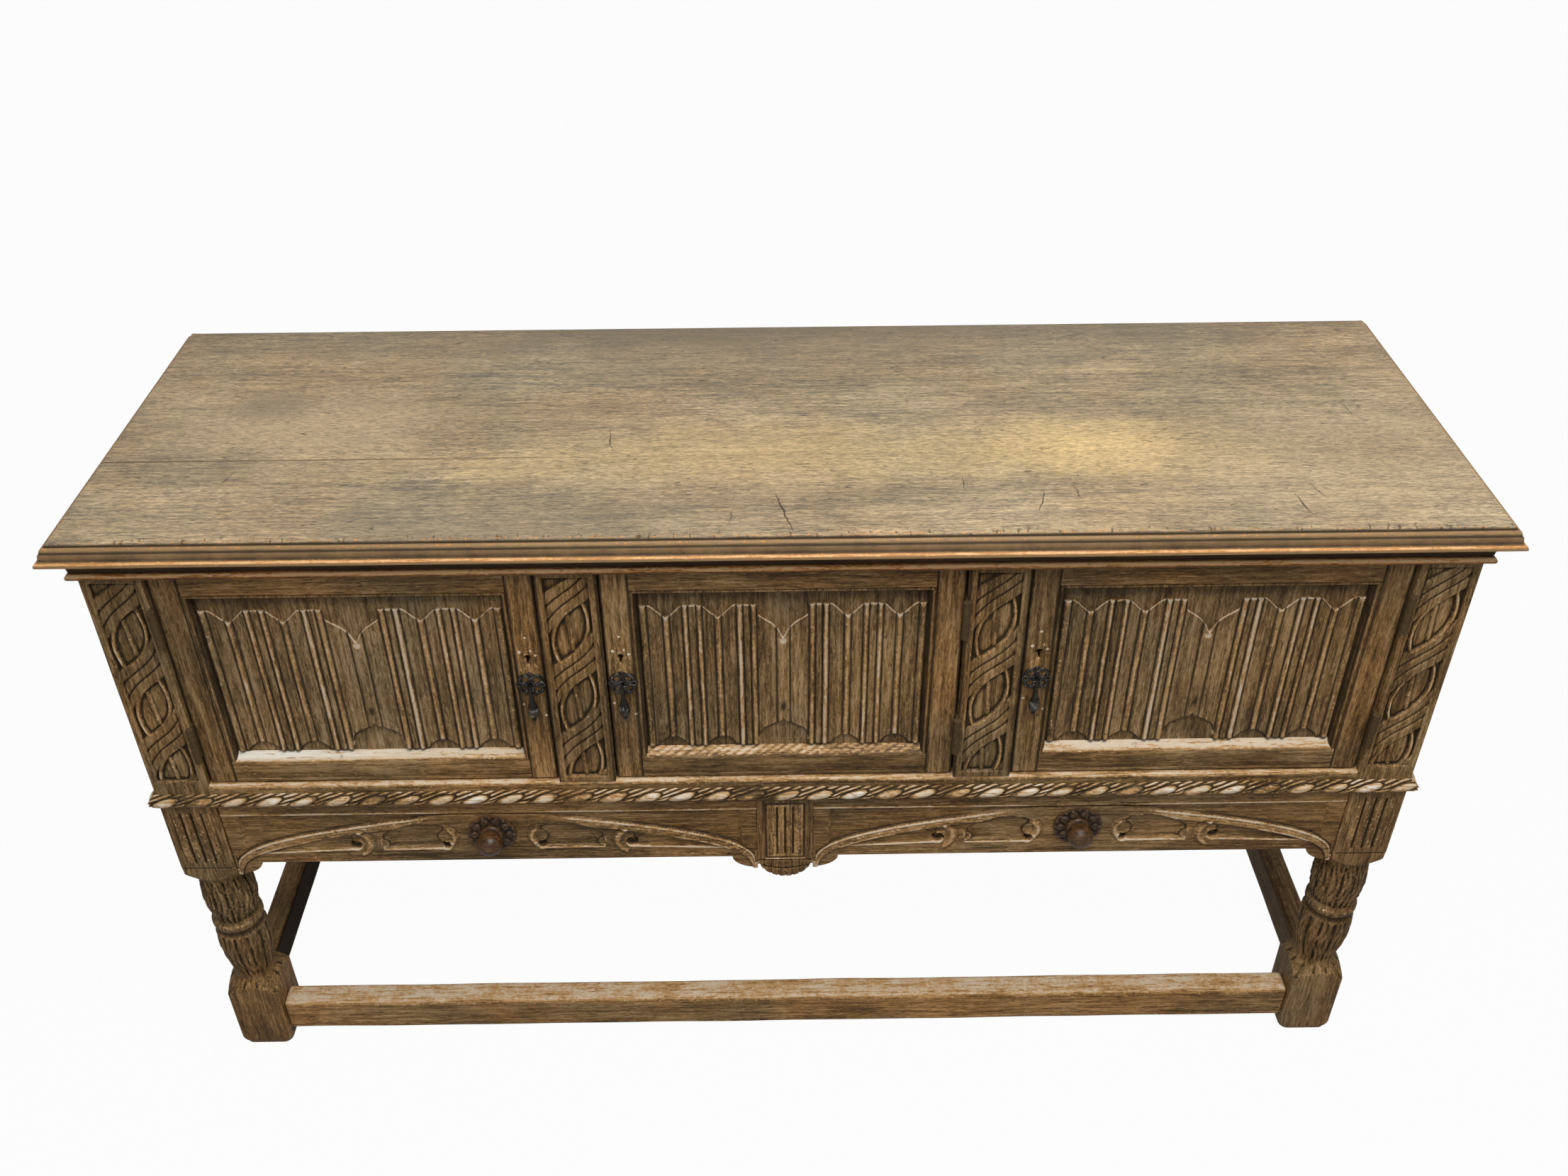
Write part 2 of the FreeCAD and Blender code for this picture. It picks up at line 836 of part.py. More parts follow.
def make_drawer(name, side):
    """A drawer on one side of the centre block, modelled about its own middle and put in its place."""
    inner = d.block_width / 2 + d.drawer_gap
    outer = post_in - d.drawer_gap
    reach = (outer - inner) / 2
    middle = side * (inner + outer) / 2
    face = front + d.drawer_setback
    front_back = face + d.drawer_front
    top = drawer_top
    low = runner_top + d.runner_play
    side_top = top - d.drawer_side_drop
    base_low = low + d.drawer_base_rise
    base_top = base_low + d.drawer_base
    tail = back_rail_front - d.drawer_tail_gap
    apron_low = drawer_low - d.apron_drop
    bracket_bottom = apron_low - d.bracket_drop

    board = new_body(f"drawer_{name}_front", x=middle)
    bracket_in = reach - d.bracket_width
    pad(board, "XZ_Plane", (face, front_back), [
        (-reach, bracket_bottom),
        (-reach + d.bracket_tip, bracket_bottom, -d.bracket_radius),
        (-bracket_in, apron_low),
        (bracket_in, apron_low, -d.bracket_radius),
        (reach - d.bracket_tip, bracket_bottom),
        (reach, bracket_bottom),
        (reach, top),
        (-reach, top),
    ])
    sunk = (face, face + d.tracery_depth)
    spandrel_out = -reach + d.tracery_margin
    spandrel_top = top - d.arch_border
    spandrel = pocket(board, "XZ_Plane", sunk, [
        (spandrel_out, drawer_low + d.arch_foot, -d.arch_radius),
        (-d.arch_crown, spandrel_top),
        (spandrel_out, spandrel_top),
    ])
    dagger_low = drawer_low + d.dagger_foot
    dagger = pocket(board, "XZ_Plane", sunk, [
        (-reach + d.dagger_start, dagger_low),
        (-reach + d.dagger_end, dagger_low),
        (-reach + d.dagger_end, dagger_low + d.dagger_height),
    ])
    light_low = dagger_low
    light_high = light_low + d.light_height
    light = pocket(board, "XZ_Plane", sunk, [
        (-reach + d.light_start, light_low),
        (-reach + d.light_end, light_low, d.light_round),
        (-reach + d.light_end, light_high),
        (-reach + d.light_start, light_high - d.tracery_depth),
    ])
    mirror(board, spandrel, dagger, light)
    slot_play = d.groove_play
    groove_reach = (front_back - d.drawer_base_groove - slot_play, front_back)
    box_reach = reach - d.drawer_side + d.drawer_base_groove
    groove = rectangle((-box_reach, box_reach), (base_low - slot_play, base_top + slot_play))
    pocket(board, "XZ_Plane", groove_reach, groove)
    node(f"drawer_{name}_front", board)

    sides = []
    for edge in (-1, 1):
        cheek_x = (middle + edge * (reach - d.drawer_side), middle + edge * reach)
        groove_x = (middle + edge * (reach - d.drawer_side),
                    middle + edge * (box_reach + slot_play))
        stock = block(f"drawer_{name}_cheek_{edge}", cheek_x, (front_back, tail), (low, side_top))
        waste = block(f"drawer_{name}_cheek_groove_{edge}", groove_x, (front_back, tail),
                      (base_low - slot_play, base_top + slot_play))
        sides.append(cut(f"drawer_{name}_side_{edge}", stock, waste))
    node(f"drawer_{name}_sides", group(f"drawer_{name}_sides", *sides))

    between = (middle - reach + d.drawer_side, middle + reach - d.drawer_side)
    back_board = block(f"drawer_{name}_back", between, (tail - d.drawer_back, tail), (base_top, side_top))
    node(f"drawer_{name}_back", back_board)
    base = block(f"drawer_{name}_bottom", (middle - box_reach, middle + box_reach),
                 (front_back - d.drawer_base_groove, tail), (base_low, base_top))
    node(f"drawer_{name}_bottom", base)

    knob = new_body(f"drawer_{name}_knob", x=middle, y=face, z=top - d.knob_drop)
    under_knob = -d.rosette_thick - d.knob_neck_length
    pad(knob, "XZ_Plane", (-d.rosette_thick, 0), polygon(d.rosette_radius, PETALS))
    turn(knob, "Revolution", "XY_Plane", [
        (0, -d.rosette_thick),
        (0, -d.knob_reach),
        (d.knob_cap, -d.knob_reach),
        (d.knob_radius, under_knob - d.knob_rim),
        (d.knob_radius, under_knob),
        (d.knob_neck, under_knob),
        (d.knob_neck, -d.rosette_thick),
    ])
    node(f"drawer_{name}_knob", knob)


# Doors.

# Linenfold across one half of a panel, in modules of the panel's width: where each fold ends and how it swells.
MODULES = 22
FOLDS = (
    (0.4, "bead"),
    (0.75, "hollow"),
    (1.2, "bead"),
    (2.1, "hollow"),
    (2.6, "bead"),
    (3.2, "bead"),
    (3.7, "bead"),
    (4.75, "hollow"),
    (5.3, "bead"),
    (6.1, "hollow"),
    (6.6, "bead"),
    (7.3, "bead"),
    (7.8, "bead"),
    (8.6, "hollow"),
    (9.15, "bead"),
    (10.3, "hollow"),
    (10.8, "bead"),
)
SCALLOPS = (5, 9)
BEAD_SWELL = 0.54
HOLLOW_SWELL = -0.9


def fold_section(module):
    """The folds across the whole panel: rounded beads between shallow hollows, on a low base."""
    level = ground - d.fold_base
    edges = [end for end, swell in FOLDS]
    swells = [swell for end, swell in FOLDS]
    stations = [-end for end in reversed(edges)] + edges
    bends = list(reversed(swells[1:])) + swells[:1] + swells[1:]
    outline = [(stations[0] * module, ground)]
    for index, station in enumerate(stations):
        place = (station * module, level)
        if index < len(bends):
            width = stations[index + 1] - station
            share = BEAD_SWELL if bends[index] == "bead" else HOLLOW_SWELL
            outline.append(place + (width * share * module,))
        else:
            outline.append(place)
    outline.append((stations[-1] * module, ground))
    return outline


def make_linenfold(label, x_low, x_high, z_low, z_high):
    """A panel carved as folded cloth, its ends scalloped down to the ground, held by a tongue all round."""
    middle = (x_low + x_high) / 2
    reach = (x_high - x_low) / 2
    module = (x_high - x_low) / MODULES
    body = new_body(label, x=middle)
    tongue_x = (-reach - d.tongue, reach + d.tongue)
    pad(body, "XZ_Plane", (ground, ground_back), rectangle(tongue_x, (z_low - d.tongue, z_high + d.tongue)))
    fold_low = z_low + d.fold_bottom_margin
    fold_high = z_high - d.fold_top_margin
    pad(body, "XY_Plane", (fold_low, fold_high), fold_section(module))
    carved = (ground - d.overcut, ground)
    scallop = d.scallop_width / 2
    upper = []
    lower = []
    for place in SCALLOPS:
        for side in (-1, 1):
            dip = side * place * module
            ends = (dip - scallop, dip + scallop)
            upper.append([(ends[0], fold_high), (dip, fold_high - d.scallop_depth), (ends[1], fold_high)])
            lower.append([(ends[1], fold_low), (dip, fold_low + d.scallop_depth), (ends[0], fold_low)])
    fold = d.centre_fold_width / 2
    upper.append([(-fold, fold_high), (0, fold_high - d.centre_fold_depth), (fold, fold_high)])
    lower.append([(fold, fold_low), (0, fold_low + d.centre_fold_depth), (-fold, fold_low)])
    pocket(body, "XZ_Plane", carved, *upper)
    pocket(body, "XZ_Plane", carved, *lower)
    node(label, body)


def make_stile(label, edge, inner, z, lock_side):
    """A stile grooved for the panel; the lock stile is mortised for the lock and pierced for its key."""
    side = 1 if inner.value > edge.value else -1
    slot = (ground - d.groove_play, ground_back + d.groove_play)
    slot_end = inner - side * (d.tongue + d.groove_play)
    body = new_body(label)
    pad(body, "XY_Plane", z, [
        (edge, door_face),
        (inner - side * d.stile_chamfer, door_face),
        (inner, door_face + d.stile_chamfer),
        (inner, slot[0]),
        (slot_end, slot[0]),
        (slot_end, slot[1]),
        (inner, slot[1]),
        (inner, door_back),
        (edge, door_back),
    ])
    if lock_side:
        case_x = ordered(edge, edge + side * d.lock_width)
        case_z = (lock_height - d.lock_tall / 2, lock_height + d.lock_tall / 2)
        case_front = door_back - d.lock_thick
        pocket(body, "XZ_Plane", (case_front, door_back), rectangle(case_x, case_z))
        key = edge + side * d.lock_edge
        pocket(body, "XZ_Plane", (door_face, case_front), (key, lock_height, d.key_radius))
        slot_x = (key - d.key_slot / 2, key + d.key_slot / 2)
        slot_z = (lock_height - d.key_drop, lock_height)
        pocket(body, "XZ_Plane", (door_face, case_front), rectangle(slot_x, slot_z))
    return body


def make_door_rails(name, x, z_low, z_high, panel_low, panel_high):
    """The upper rail with a chamfered edge and the lower rail with its sloped sill, both grooved."""
    slot = (ground - d.groove_play, ground_back + d.groove_play)
    depth = d.tongue + d.groove_play
    upper = new_body(f"door_{name}_upper_rail")
    pad(upper, "YZ_Plane", x, [
        (door_face, panel_high + d.stile_chamfer),
        (door_face + d.stile_chamfer, panel_high),
        (slot[0], panel_high),
        (slot[0], panel_high + depth),
        (slot[1], panel_high + depth),
        (slot[1], panel_high),
        (door_back, panel_high),
        (door_back, z_high),
        (door_face, z_high),
    ])
    lower = new_body(f"door_{name}_lower_rail")
    pad(lower, "YZ_Plane", x, [
        (door_face, z_low),
        (door_back, z_low),
        (door_back, panel_low),
        (slot[1], panel_low),
        (slot[1], panel_low - depth),
        (slot[0], panel_low - depth),
        (slot[0], panel_low),
        (door_face + d.sill_depth, panel_low),
        (door_face, panel_low - d.sill_slope),
    ])
    node(f"door_{name}_rails", group(f"door_{name}_rails", upper, lower))


def hinge_heights(z_low, z_high):
    return (("lower", z_low + d.hinge_inset), ("upper", z_high - d.hinge_inset))


def make_hinges(name, jamb, side, z_low, z_high):
    """Two butt hinges: the fixed leaf has the outer knuckles and the pin, the door leaf the middle knuckle."""
    axis_x = jamb + side * d.hinge_gap / 2
    axis_y = front - d.knuckle_radius - d.leaf_play
    leaf = (d.hinge_gap - d.leaf_play) / 2
    edge = jamb + side * d.hinge_gap
    clear_y = axis_y + d.knuckle_radius + d.leaf_play
    fixed = []
    swinging = []
    for place, middle in hinge_heights(z_low, z_high):
        tag = f"{name}_{place}"
        low = middle - d.hinge_length / 2
        high = middle + d.hinge_length / 2
        low_split = middle - d.hinge_length / 6
        high_split = middle + d.hinge_length / 6
        fixed_leaf = block(f"fixed_plate_{tag}", (jamb, jamb + side * leaf),
                           (axis_y, front + d.leaf_width), (low, high))
        notch = block(f"fixed_notch_{tag}", (jamb, jamb + side * leaf),
                      (axis_y, clear_y), (low_split - d.knuckle_gap, high_split + d.knuckle_gap))
        plate = cut(f"fixed_leaf_{tag}", fixed_leaf, notch)
        upper = upright_cylinder(f"fixed_knuckle_high_{tag}", axis_x, axis_y,
                                 (high_split + d.knuckle_gap, high), d.knuckle_radius)
        lower = upright_cylinder(f"fixed_knuckle_low_{tag}", axis_x, axis_y,
                                 (low, low_split - d.knuckle_gap), d.knuckle_radius)
        pin = upright_cylinder(f"hinge_pin_{tag}", axis_x, axis_y, (low, high), d.pin_radius)
        fixed.append(fuse(f"hinge_fixed_{tag}", plate, upper, lower, pin))

        door_leaf = block(f"door_plate_{tag}", (edge, edge - side * leaf),
                          (axis_y, front + d.leaf_width), (low, high))
        high_notch = block(f"door_notch_high_{tag}", (edge, edge - side * leaf),
                           (axis_y, clear_y), (high_split - d.knuckle_gap, high))
        low_notch = block(f"door_notch_low_{tag}", (edge, edge - side * leaf),
                          (axis_y, clear_y), (low, low_split + d.knuckle_gap))
        door_plate = cut(f"door_leaf_{tag}", door_leaf, high_notch, low_notch)
        knuckle_ends = (low_split + d.knuckle_gap, high_split - d.knuckle_gap)
        knuckle = upright_cylinder(f"door_knuckle_{tag}", axis_x, axis_y, knuckle_ends, d.knuckle_radius)
        bore = upright_cylinder(f"knuckle_bore_{tag}", axis_x, axis_y, (low, high), d.pin_radius + d.pin_play)
        swinging.append(cut(f"hinge_door_{tag}", fuse(f"door_leaf_solid_{tag}", door_plate, knuckle), bore))
    node(f"door_{name}_hinge_leaves", group(f"door_{name}_hinge_leaves", *swinging))
    return fixed


def make_lock(name, edge, side):
    """A lock case let into the stile, with the bolt that slides out of the door's edge."""
    middle = door_back - d.lock_thick / 2
    case_z = (lock_height - d.lock_tall / 2, lock_height + d.lock_tall / 2)
    stock = block(f"lock_stock_{name}", (edge, edge + side * d.lock_width),
                  (door_back - d.lock_thick, door_back), case_z)
    thick = d.bolt_thick / 2
    tall = d.bolt_tall / 2
    way_end = edge + side * (d.bolt_inset + d.bolt_length + d.bolt_play)
    way = block(f"bolt_way_{name}", (edge, way_end),
                (middle - thick - d.bolt_play, middle + thick + d.bolt_play),
                (lock_height - tall - d.bolt_play, lock_height + tall + d.bolt_play))
    node(f"door_{name}_lock_case", cut(f"door_{name}_lock_case", stock, way))
    nose = edge + side * d.bolt_inset
    bolt = block(f"door_{name}_lock_bolt", (nose, nose + side * d.bolt_length),
                 (middle - thick, middle + thick), (lock_height - tall, lock_height + tall))
    node(f"door_{name}_lock_bolt", bolt)


DROP_SIDES = 8


def make_handle(name, x):
    """A four-lobed pierced plate with two ears and a pin, and the pear drop that hangs on the pin."""
    plate = new_body(f"door_{name}_handle_plate", x=x, y=door_face, z=plate_height)
    cusp = d.plate_cusp
    lobe = d.plate_lobe
    pad(plate, "XZ_Plane", (-d.plate_thick, 0), [
        (-cusp, -cusp, lobe),
        (cusp, -cusp, lobe),
        (cusp, cusp, lobe),
        (-cusp, cusp, lobe),
    ])
    lozenges = []
    pierce = d.pierce
    for side in (-1, 1):
        centre = side * d.pierce_reach
        lozenges.append([(centre - pierce, 0), (centre, -pierce), (centre + pierce, 0), (centre, pierce)])
        lozenges.append([(0, centre - pierce), (pierce, centre), (0, centre + pierce), (-pierce, centre)])
    pocket(plate, "XZ_Plane", (-d.plate_thick, 0), *lozenges)
    ear_in = d.ear_gap / 2
    ear_out = ear_in + d.ear_thick
    ear_z = (-d.ear_tall / 2, d.ear_tall / 2)
    eye = d.plate_thick + d.eye_reach
    ears = (-eye - d.ear_tall / 2, -d.plate_thick)
    pad(plate, "XZ_Plane", ears, rectangle((ear_in, ear_out), ear_z), rectangle((-ear_out, -ear_in), ear_z))
    pad(plate, "YZ_Plane", (-ear_out, ear_out), (-eye, 0, d.handle_pin))
    node(f"door_{name}_handle_plate", plate)

    drop = new_body(f"door_{name}_handle_drop", x=x, y=door_face - eye, z=plate_height)
    bar = pad(drop, "XY_Plane", (-d.drop_length, 0), polygon(d.pear_radius, DROP_SIDES))
    facet = math.cos(math.pi / DROP_SIDES)
    belly = d.pear_radius * facet
    stem = d.stem_radius * facet
    finial = d.finial_radius * facet
    clear = d.pear_radius + d.overcut
    above = [
        (clear, 0),
        (stem, 0),
        (stem, -d.stem_length),
        (belly, -d.pear_height + d.pear_round),
        (clear, -d.pear_height + d.pear_round),
    ]
    below = [
        (clear, -d.pear_height),
        (belly, -d.pear_height),
        (finial, -d.pear_height - d.pear_round),
        (finial, -d.drop_length),
        (clear, -d.drop_length),
    ]
    flat = pocket(drop, "YZ_Plane", (-d.pear_radius, d.pear_radius), above, below)
    repeat_round(drop, flat, bar.Profile[0], DROP_SIDES)
    pad(drop, "YZ_Plane", (-d.eye_width / 2, d.eye_width / 2), (0, 0, d.eye_radius))
    bore_reach = (-d.eye_width / 2 - d.overcut, d.eye_width / 2 + d.overcut)
    pocket(drop, "YZ_Plane", bore_reach, (0, 0, d.handle_pin + d.handle_play))
    node(f"door_{name}_handle_drop", drop)


def make_door(name, opening, hinge_side):
    """A framed linenfold door hung in its opening, with its hinges, lock and handle."""
    jamb = opening[0] if hinge_side < 0 else opening[1]
    lock_jamb = opening[1] if hinge_side < 0 else opening[0]
    inward = -hinge_side
    hinge_edge = jamb + inward * d.hinge_gap
    lock_edge = lock_jamb - inward * d.lock_gap
    z_low = d.sill_height + d.door_gap
    z_high = cornice_bottom - d.door_gap
    panel_low = z_low + d.door_bottom_rail
    panel_high = z_high - d.door_top_rail
    hinge_inner = hinge_edge + inward * d.stile
    lock_inner = lock_edge - inward * d.stile
    x_low, x_high = ordered(hinge_inner, lock_inner)
    stiles = (
        make_stile(f"door_{name}_hinge_stile", hinge_edge, hinge_inner, (z_low, z_high), False),
        make_stile(f"door_{name}_lock_stile", lock_edge, lock_inner, (z_low, z_high), True),
    )
    node(f"door_{name}_stiles", group(f"door_{name}_stiles", *stiles))
    make_door_rails(name, (x_low, x_high), z_low, z_high, panel_low, panel_high)
    make_linenfold(f"door_{name}_panel", x_low, x_high, panel_low, panel_high)
    make_lock(name, lock_edge, -inward)
    make_handle(name, lock_edge - inward * d.lock_edge)
    return make_hinges(name, jamb, inward, z_low, z_high)


def make_doors():
    muntin_out = d.muntin_centre + d.muntin_width / 2
    muntin_in = d.muntin_centre - d.muntin_width / 2
    fixed_leaves = make_door("left", (-post_in, -muntin_out), -1)
    fixed_leaves += make_door("middle", (-muntin_in, muntin_in), 1)
    fixed_leaves += make_door("right", (muntin_out, post_in), 1)
    node("hinge_fixed_leaves", group("hinge_fixed_leaves", *fixed_leaves))


def check_document():
    """Stops the build if an object failed or a cut took nothing away."""
    doc.recompute()
    for item in doc.Objects:
        if "Invalid" in item.State or "Error" in item.State:
            raise RuntimeError(f"{item.Label} failed: {item.State}")
        if item.TypeId in ("PartDesign::Pocket", "PartDesign::Groove"):
            taken = item.BaseFeature.Shape.Volume - item.Shape.Volume
            if taken <= 0:
                raise RuntimeError(f"{item.Label} cuts nothing")
    for label, piece in nodes.items():
        if piece.Shape.isNull() or not piece.Shape.isValid():
            raise RuntimeError(f"{label} has no valid shape")


def main():
    make_top()
    make_mouldings()
    for name, side in (("left", -1), ("right", 1)):
        make_post(f"post_front_{name}", side, True)
        make_post(f"post_back_{name}", side, False)
    make_muntin("muntin_left", -1, (-1, 1))
    make_muntin("muntin_right", 1, (1,))
    make_front_rails()
    make_sides()
    make_back()
    make_cupboard_inside()
    make_centre_block()
    make_runners()
    make_stretchers()
    make_drawer("left", -1)
    make_drawer("right", 1)
    make_doors()
    check_document()
    os.makedirs("parts", exist_ok=True)
    for label, piece in nodes.items():
        piece.Shape.exportStep(f"parts/{label}.step")
    print(len(nodes), "nodes written")


main()
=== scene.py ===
"""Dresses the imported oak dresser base: boards, mouldings, carving, iron, stage and camera."""
import functools
import math

import bmesh
import bpy
import numpy as np
from bpy.props import FloatProperty, FloatVectorProperty, IntProperty, PointerProperty
from mathutils import Matrix, Vector


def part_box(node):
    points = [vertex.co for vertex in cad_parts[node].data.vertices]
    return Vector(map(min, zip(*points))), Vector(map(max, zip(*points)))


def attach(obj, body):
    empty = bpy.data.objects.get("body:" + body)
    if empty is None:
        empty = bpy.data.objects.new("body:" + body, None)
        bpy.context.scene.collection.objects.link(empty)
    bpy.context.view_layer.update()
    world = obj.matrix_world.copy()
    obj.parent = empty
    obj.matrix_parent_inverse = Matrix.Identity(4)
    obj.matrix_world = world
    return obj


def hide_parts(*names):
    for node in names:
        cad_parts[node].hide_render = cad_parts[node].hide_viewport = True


bl_info = {
    "name": "Oak Dresser Base",
    "version": (1, 0, 0),
    "blender": (4, 5, 0),
    "location": "View3D > Sidebar > Dresser",
    "description": "Carved oak dresser base with linenfold doors, dressed on its measured frame",
    "category": "Add Mesh",
}

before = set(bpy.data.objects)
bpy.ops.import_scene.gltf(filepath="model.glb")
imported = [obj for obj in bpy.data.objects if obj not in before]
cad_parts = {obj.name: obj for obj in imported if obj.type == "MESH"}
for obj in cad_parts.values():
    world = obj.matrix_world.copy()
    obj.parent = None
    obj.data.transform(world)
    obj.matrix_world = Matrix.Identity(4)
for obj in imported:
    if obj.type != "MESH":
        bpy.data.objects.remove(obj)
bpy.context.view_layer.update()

# Shapes are worked out in millimetres and become metres when a piece is made.
MM = 0.001
# Points that lie closer than the first are sewn together, and edges shorter than the second are taken out.
SEW_REACH = 0.02
SHORT_EDGE = 0.002
# Faces that meet at more than this angle, in degrees, have a sharp edge between them.
SHARP_ANGLE = 40.0
DOORS = ("left", "middle", "right")
DRAWERS = ("left", "right")
ENDS = ("left", "right")

# The camera that took the photograph, in the frame's metres and degrees.
PHOTO_SIZE = (2212, 1659)
CAMERA_PLACE = (-0.0088, -1.6037, 1.8321)
CAMERA_TILT = 36.261
CAMERA_YAW = -0.416
CAMERA_ROLL = -0.455
CAMERA_FOCAL_PIXELS = 2057.3
SENSOR_WIDTH = 36.0


def colour(name, description, default):
    """A colour that the user may change."""
    return FloatVectorProperty(
        name=name, description=description, default=default, size=3, min=0.0, max=1.0, subtype="COLOR"
    )


def length(name, description, default):
    """A length that the user may change, in metres."""
    return FloatProperty(name=name, description=description, default=default, min=0.0, unit="LENGTH")


class DresserSizes(bpy.types.PropertyGroup):
    """Sizes of the carved and worn detail that the frame leaves open."""

    edge_round: length("Worn Edge", "Radius of an edge rounded by use", 0.0018)
    unevenness: length("Unevenness", "Height of the slow waver of hand-planed wood", 0.00035)
    fold_height: length("Fold Height", "Height of the linen folds above the panel's ground", 0.0030)
    fold_sag: length("Fold Sag", "Depth of the hollow across a broad fold", 0.0014)
    bead_height: length("Bead Height", "Height of the beads on the linen folds", 0.0020)
    guilloche_pitch: length("Guilloche Pitch", "Height from one eye of the guilloche to the next", 0.109)
    guilloche_depth: length("Guilloche Depth", "Depth of the ground in the carved pilasters", 0.0038)
    reed_depth: length("Reed Depth", "Depth of the grooves between the reeds", 0.0034)
    reed_count: IntProperty(name="Reeds", description="Reeds on each block", default=4, min=2)
    leaf_count: IntProperty(name="Leaves", description="Leaves round each turned leg", default=12, min=4)
    rope_pitch: length("Rope Pitch", "Length of one lobe and its strands on the rope moulding", 0.044)
    rib_width: length("Arch Rib", "Width of the arched rib on a drawer front", 0.013)
    tracery_depth: length("Tracery Depth", "Depth of the pockets below the arch", 0.0050)
    petal_count: IntProperty(name="Petals", description="Petals round each drawer knob", default=10, min=4)


class DresserColours(bpy.types.PropertyGroup):
    """Colours of the oak, the iron and the stage."""

    oak_dark: colour("Oak Dark", "Dark streaks of the front's oak", (0.056, 0.029, 0.010))
    oak_mid: colour("Oak", "Middle tone of the front's oak", (0.174, 0.094, 0.031))
    oak_light: colour("Oak Light", "Light streaks of the front's oak", (0.315, 0.190, 0.082))
    # The rubbed, worn and bleached tones also colour painted highlights on sills, lips, beads and rope lobes.
    oak_rubbed: colour("Rubbed Oak", "Edges and treads rubbed golden", (0.530, 0.304, 0.118))
    oak_worn: colour("Worn Oak", "Edges rubbed bare", (0.680, 0.555, 0.400))
    oak_bleached: colour("Bleached Oak", "Bare oak bleached by light", (0.820, 0.770, 0.660))
    # This colour also paints the painted shade in hollows, gaps and under overhangs.
    oak_grime: colour("Grime", "Old wax and dirt in the hollows", (0.020, 0.014, 0.008))
    top_dark: colour("Top Dark", "Dark streaks and stains of the top", (0.225, 0.180, 0.124))
    top_mid: colour("Top", "Middle tone of the top", (0.410, 0.300, 0.178))
    top_light: colour("Top Light", "Light streaks of the top", (0.550, 0.408, 0.244))
    # This colour also paints the sheen of the light on the top.
    top_gold_sheen: colour("Top Gold", "Patch of the top that is rubbed golden", (0.760, 0.545, 0.250))
    inside_dark: colour("Inside Dark", "Dark streaks of the unwaxed oak inside", (0.170, 0.105, 0.055))
    inside_mid: colour("Inside", "Middle tone of the unwaxed oak inside", (0.340, 0.220, 0.125))
    inside_light: colour("Inside Light", "Light streaks of the unwaxed oak inside", (0.440, 0.310, 0.190))
    iron: colour("Iron", "Blackened iron", (0.009, 0.0085, 0.008))
    iron_bright: colour("Rubbed Iron", "Iron rubbed bright by hands", (0.400, 0.375, 0.340))
    iron_rust: colour("Rusted Iron", "Old brown iron of the hinges", (0.120, 0.077, 0.037))
    floor: colour("Floor", "Pale floor and background", (0.420, 0.416, 0.411))


def sizes():
    """The detail sizes of this scene."""
    return bpy.context.scene.dresser_sizes


def colours():
    """The colours of this scene."""
    return bpy.context.scene.dresser_colours


def node_box(node):
    """Lowest and highest corner of a node of the frame, in millimetres."""
    low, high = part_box(node)
    return np.array(low) / MM, np.array(high) / MM


# Surfaces

class Skin:
    """Patches of surface that are sewn into one mesh, with marks of rubbing, dirt, painted highlight and
    painted shade on their points.
    """

    def __init__(self, board=0.0):
        self.points = []
        self.marks = []
        self.faces = []
        self.count = 0
        self.board = board

    def add_points(self, points, wear, grime):
        """Adds points and their marks, and returns the number of the first."""
        points = np.asarray(points, float).reshape(-1, 3)
        marks = np.empty((len(points), 3))
        marks[:, 0] = np.broadcast_to(np.asarray(wear, float).reshape(-1), len(points))
        marks[:, 1] = np.broadcast_to(np.asarray(grime, float).reshape(-1), len(points))
        marks[:, 2] = self.board
        self.points.append(points)
        self.marks.append(marks)
        first = self.count
        self.count += len(points)
        return first

    def grid(self, x, y, z, wear=0.0, grime=0.0, wrap=False):
        """Adds a patch of quads on rows and columns of points."""
        x, y, z, wear, grime = np.broadcast_arrays(x, y, z, wear, grime)
        first = self.add_points(np.stack([x, y, z], -1), wear, grime)
        index = first + np.arange(x.size).reshape(x.shape)
        if wrap:
            index = np.hstack([index, index[:, :1]])
        quads = np.stack([index[:-1, :-1], index[:-1, 1:], index[1:, 1:], index[1:, :-1]], -1)
        self.faces.extend(quads.reshape(-1, 4).tolist())

    def face(self, points, wear=0.0, grime=0.0):
        """Adds one face with the given corners."""
        first = self.add_points(points, wear, grime)
        self.faces.append(list(range(first, self.count)))

    def take(self, mesh):
        """Adds a finished mesh, which is in metres, with its marks."""
        first = self.add_points(mesh_points(mesh), *(mesh_marks(mesh, name) for name in ("wear", "grime")))
        self.faces.extend([first + corner for corner in face.vertices] for face in mesh.polygons)

    def mesh(self, name, uneven=0.0, seed=0):
        """The sewn mesh in metres, with its faces pointing outwards."""
        points = np.concatenate(self.points)
        if uneven:
            points = wavered(points, seed, uneven)
        mesh = bpy.data.meshes.new(name)
        mesh.from_pydata((points * MM).tolist(), [], self.faces)
        marks = np.concatenate(self.marks)
        for column, label in enumerate(("wear", "grime", "board")):
            attribute = mesh.attributes.new(label, "FLOAT", "POINT")
            attribute.data.foreach_set("value", np.ascontiguousarray(marks[:, column], np.float32))
        sewn = bmesh.new()
        sewn.from_mesh(mesh)
        bmesh.ops.remove_doubles(sewn, verts=sewn.verts, dist=SEW_REACH * MM)
        bmesh.ops.dissolve_degenerate(sewn, edges=sewn.edges, dist=SHORT_EDGE * MM)
        bmesh.ops.recalc_face_normals(sewn, faces=sewn.faces)
        for face in sewn.faces:
            face.smooth = True
        sewn.to_mesh(mesh)
        sewn.free()
        mesh.set_sharp_from_angle(angle=math.radians(SHARP_ANGLE))
        return mesh


def mesh_points(mesh):
    """Points of a mesh, in millimetres."""
    points = np.empty(len(mesh.vertices) * 3)
    mesh.vertices.foreach_get("co", points)
    return points.reshape(-1, 3) / MM


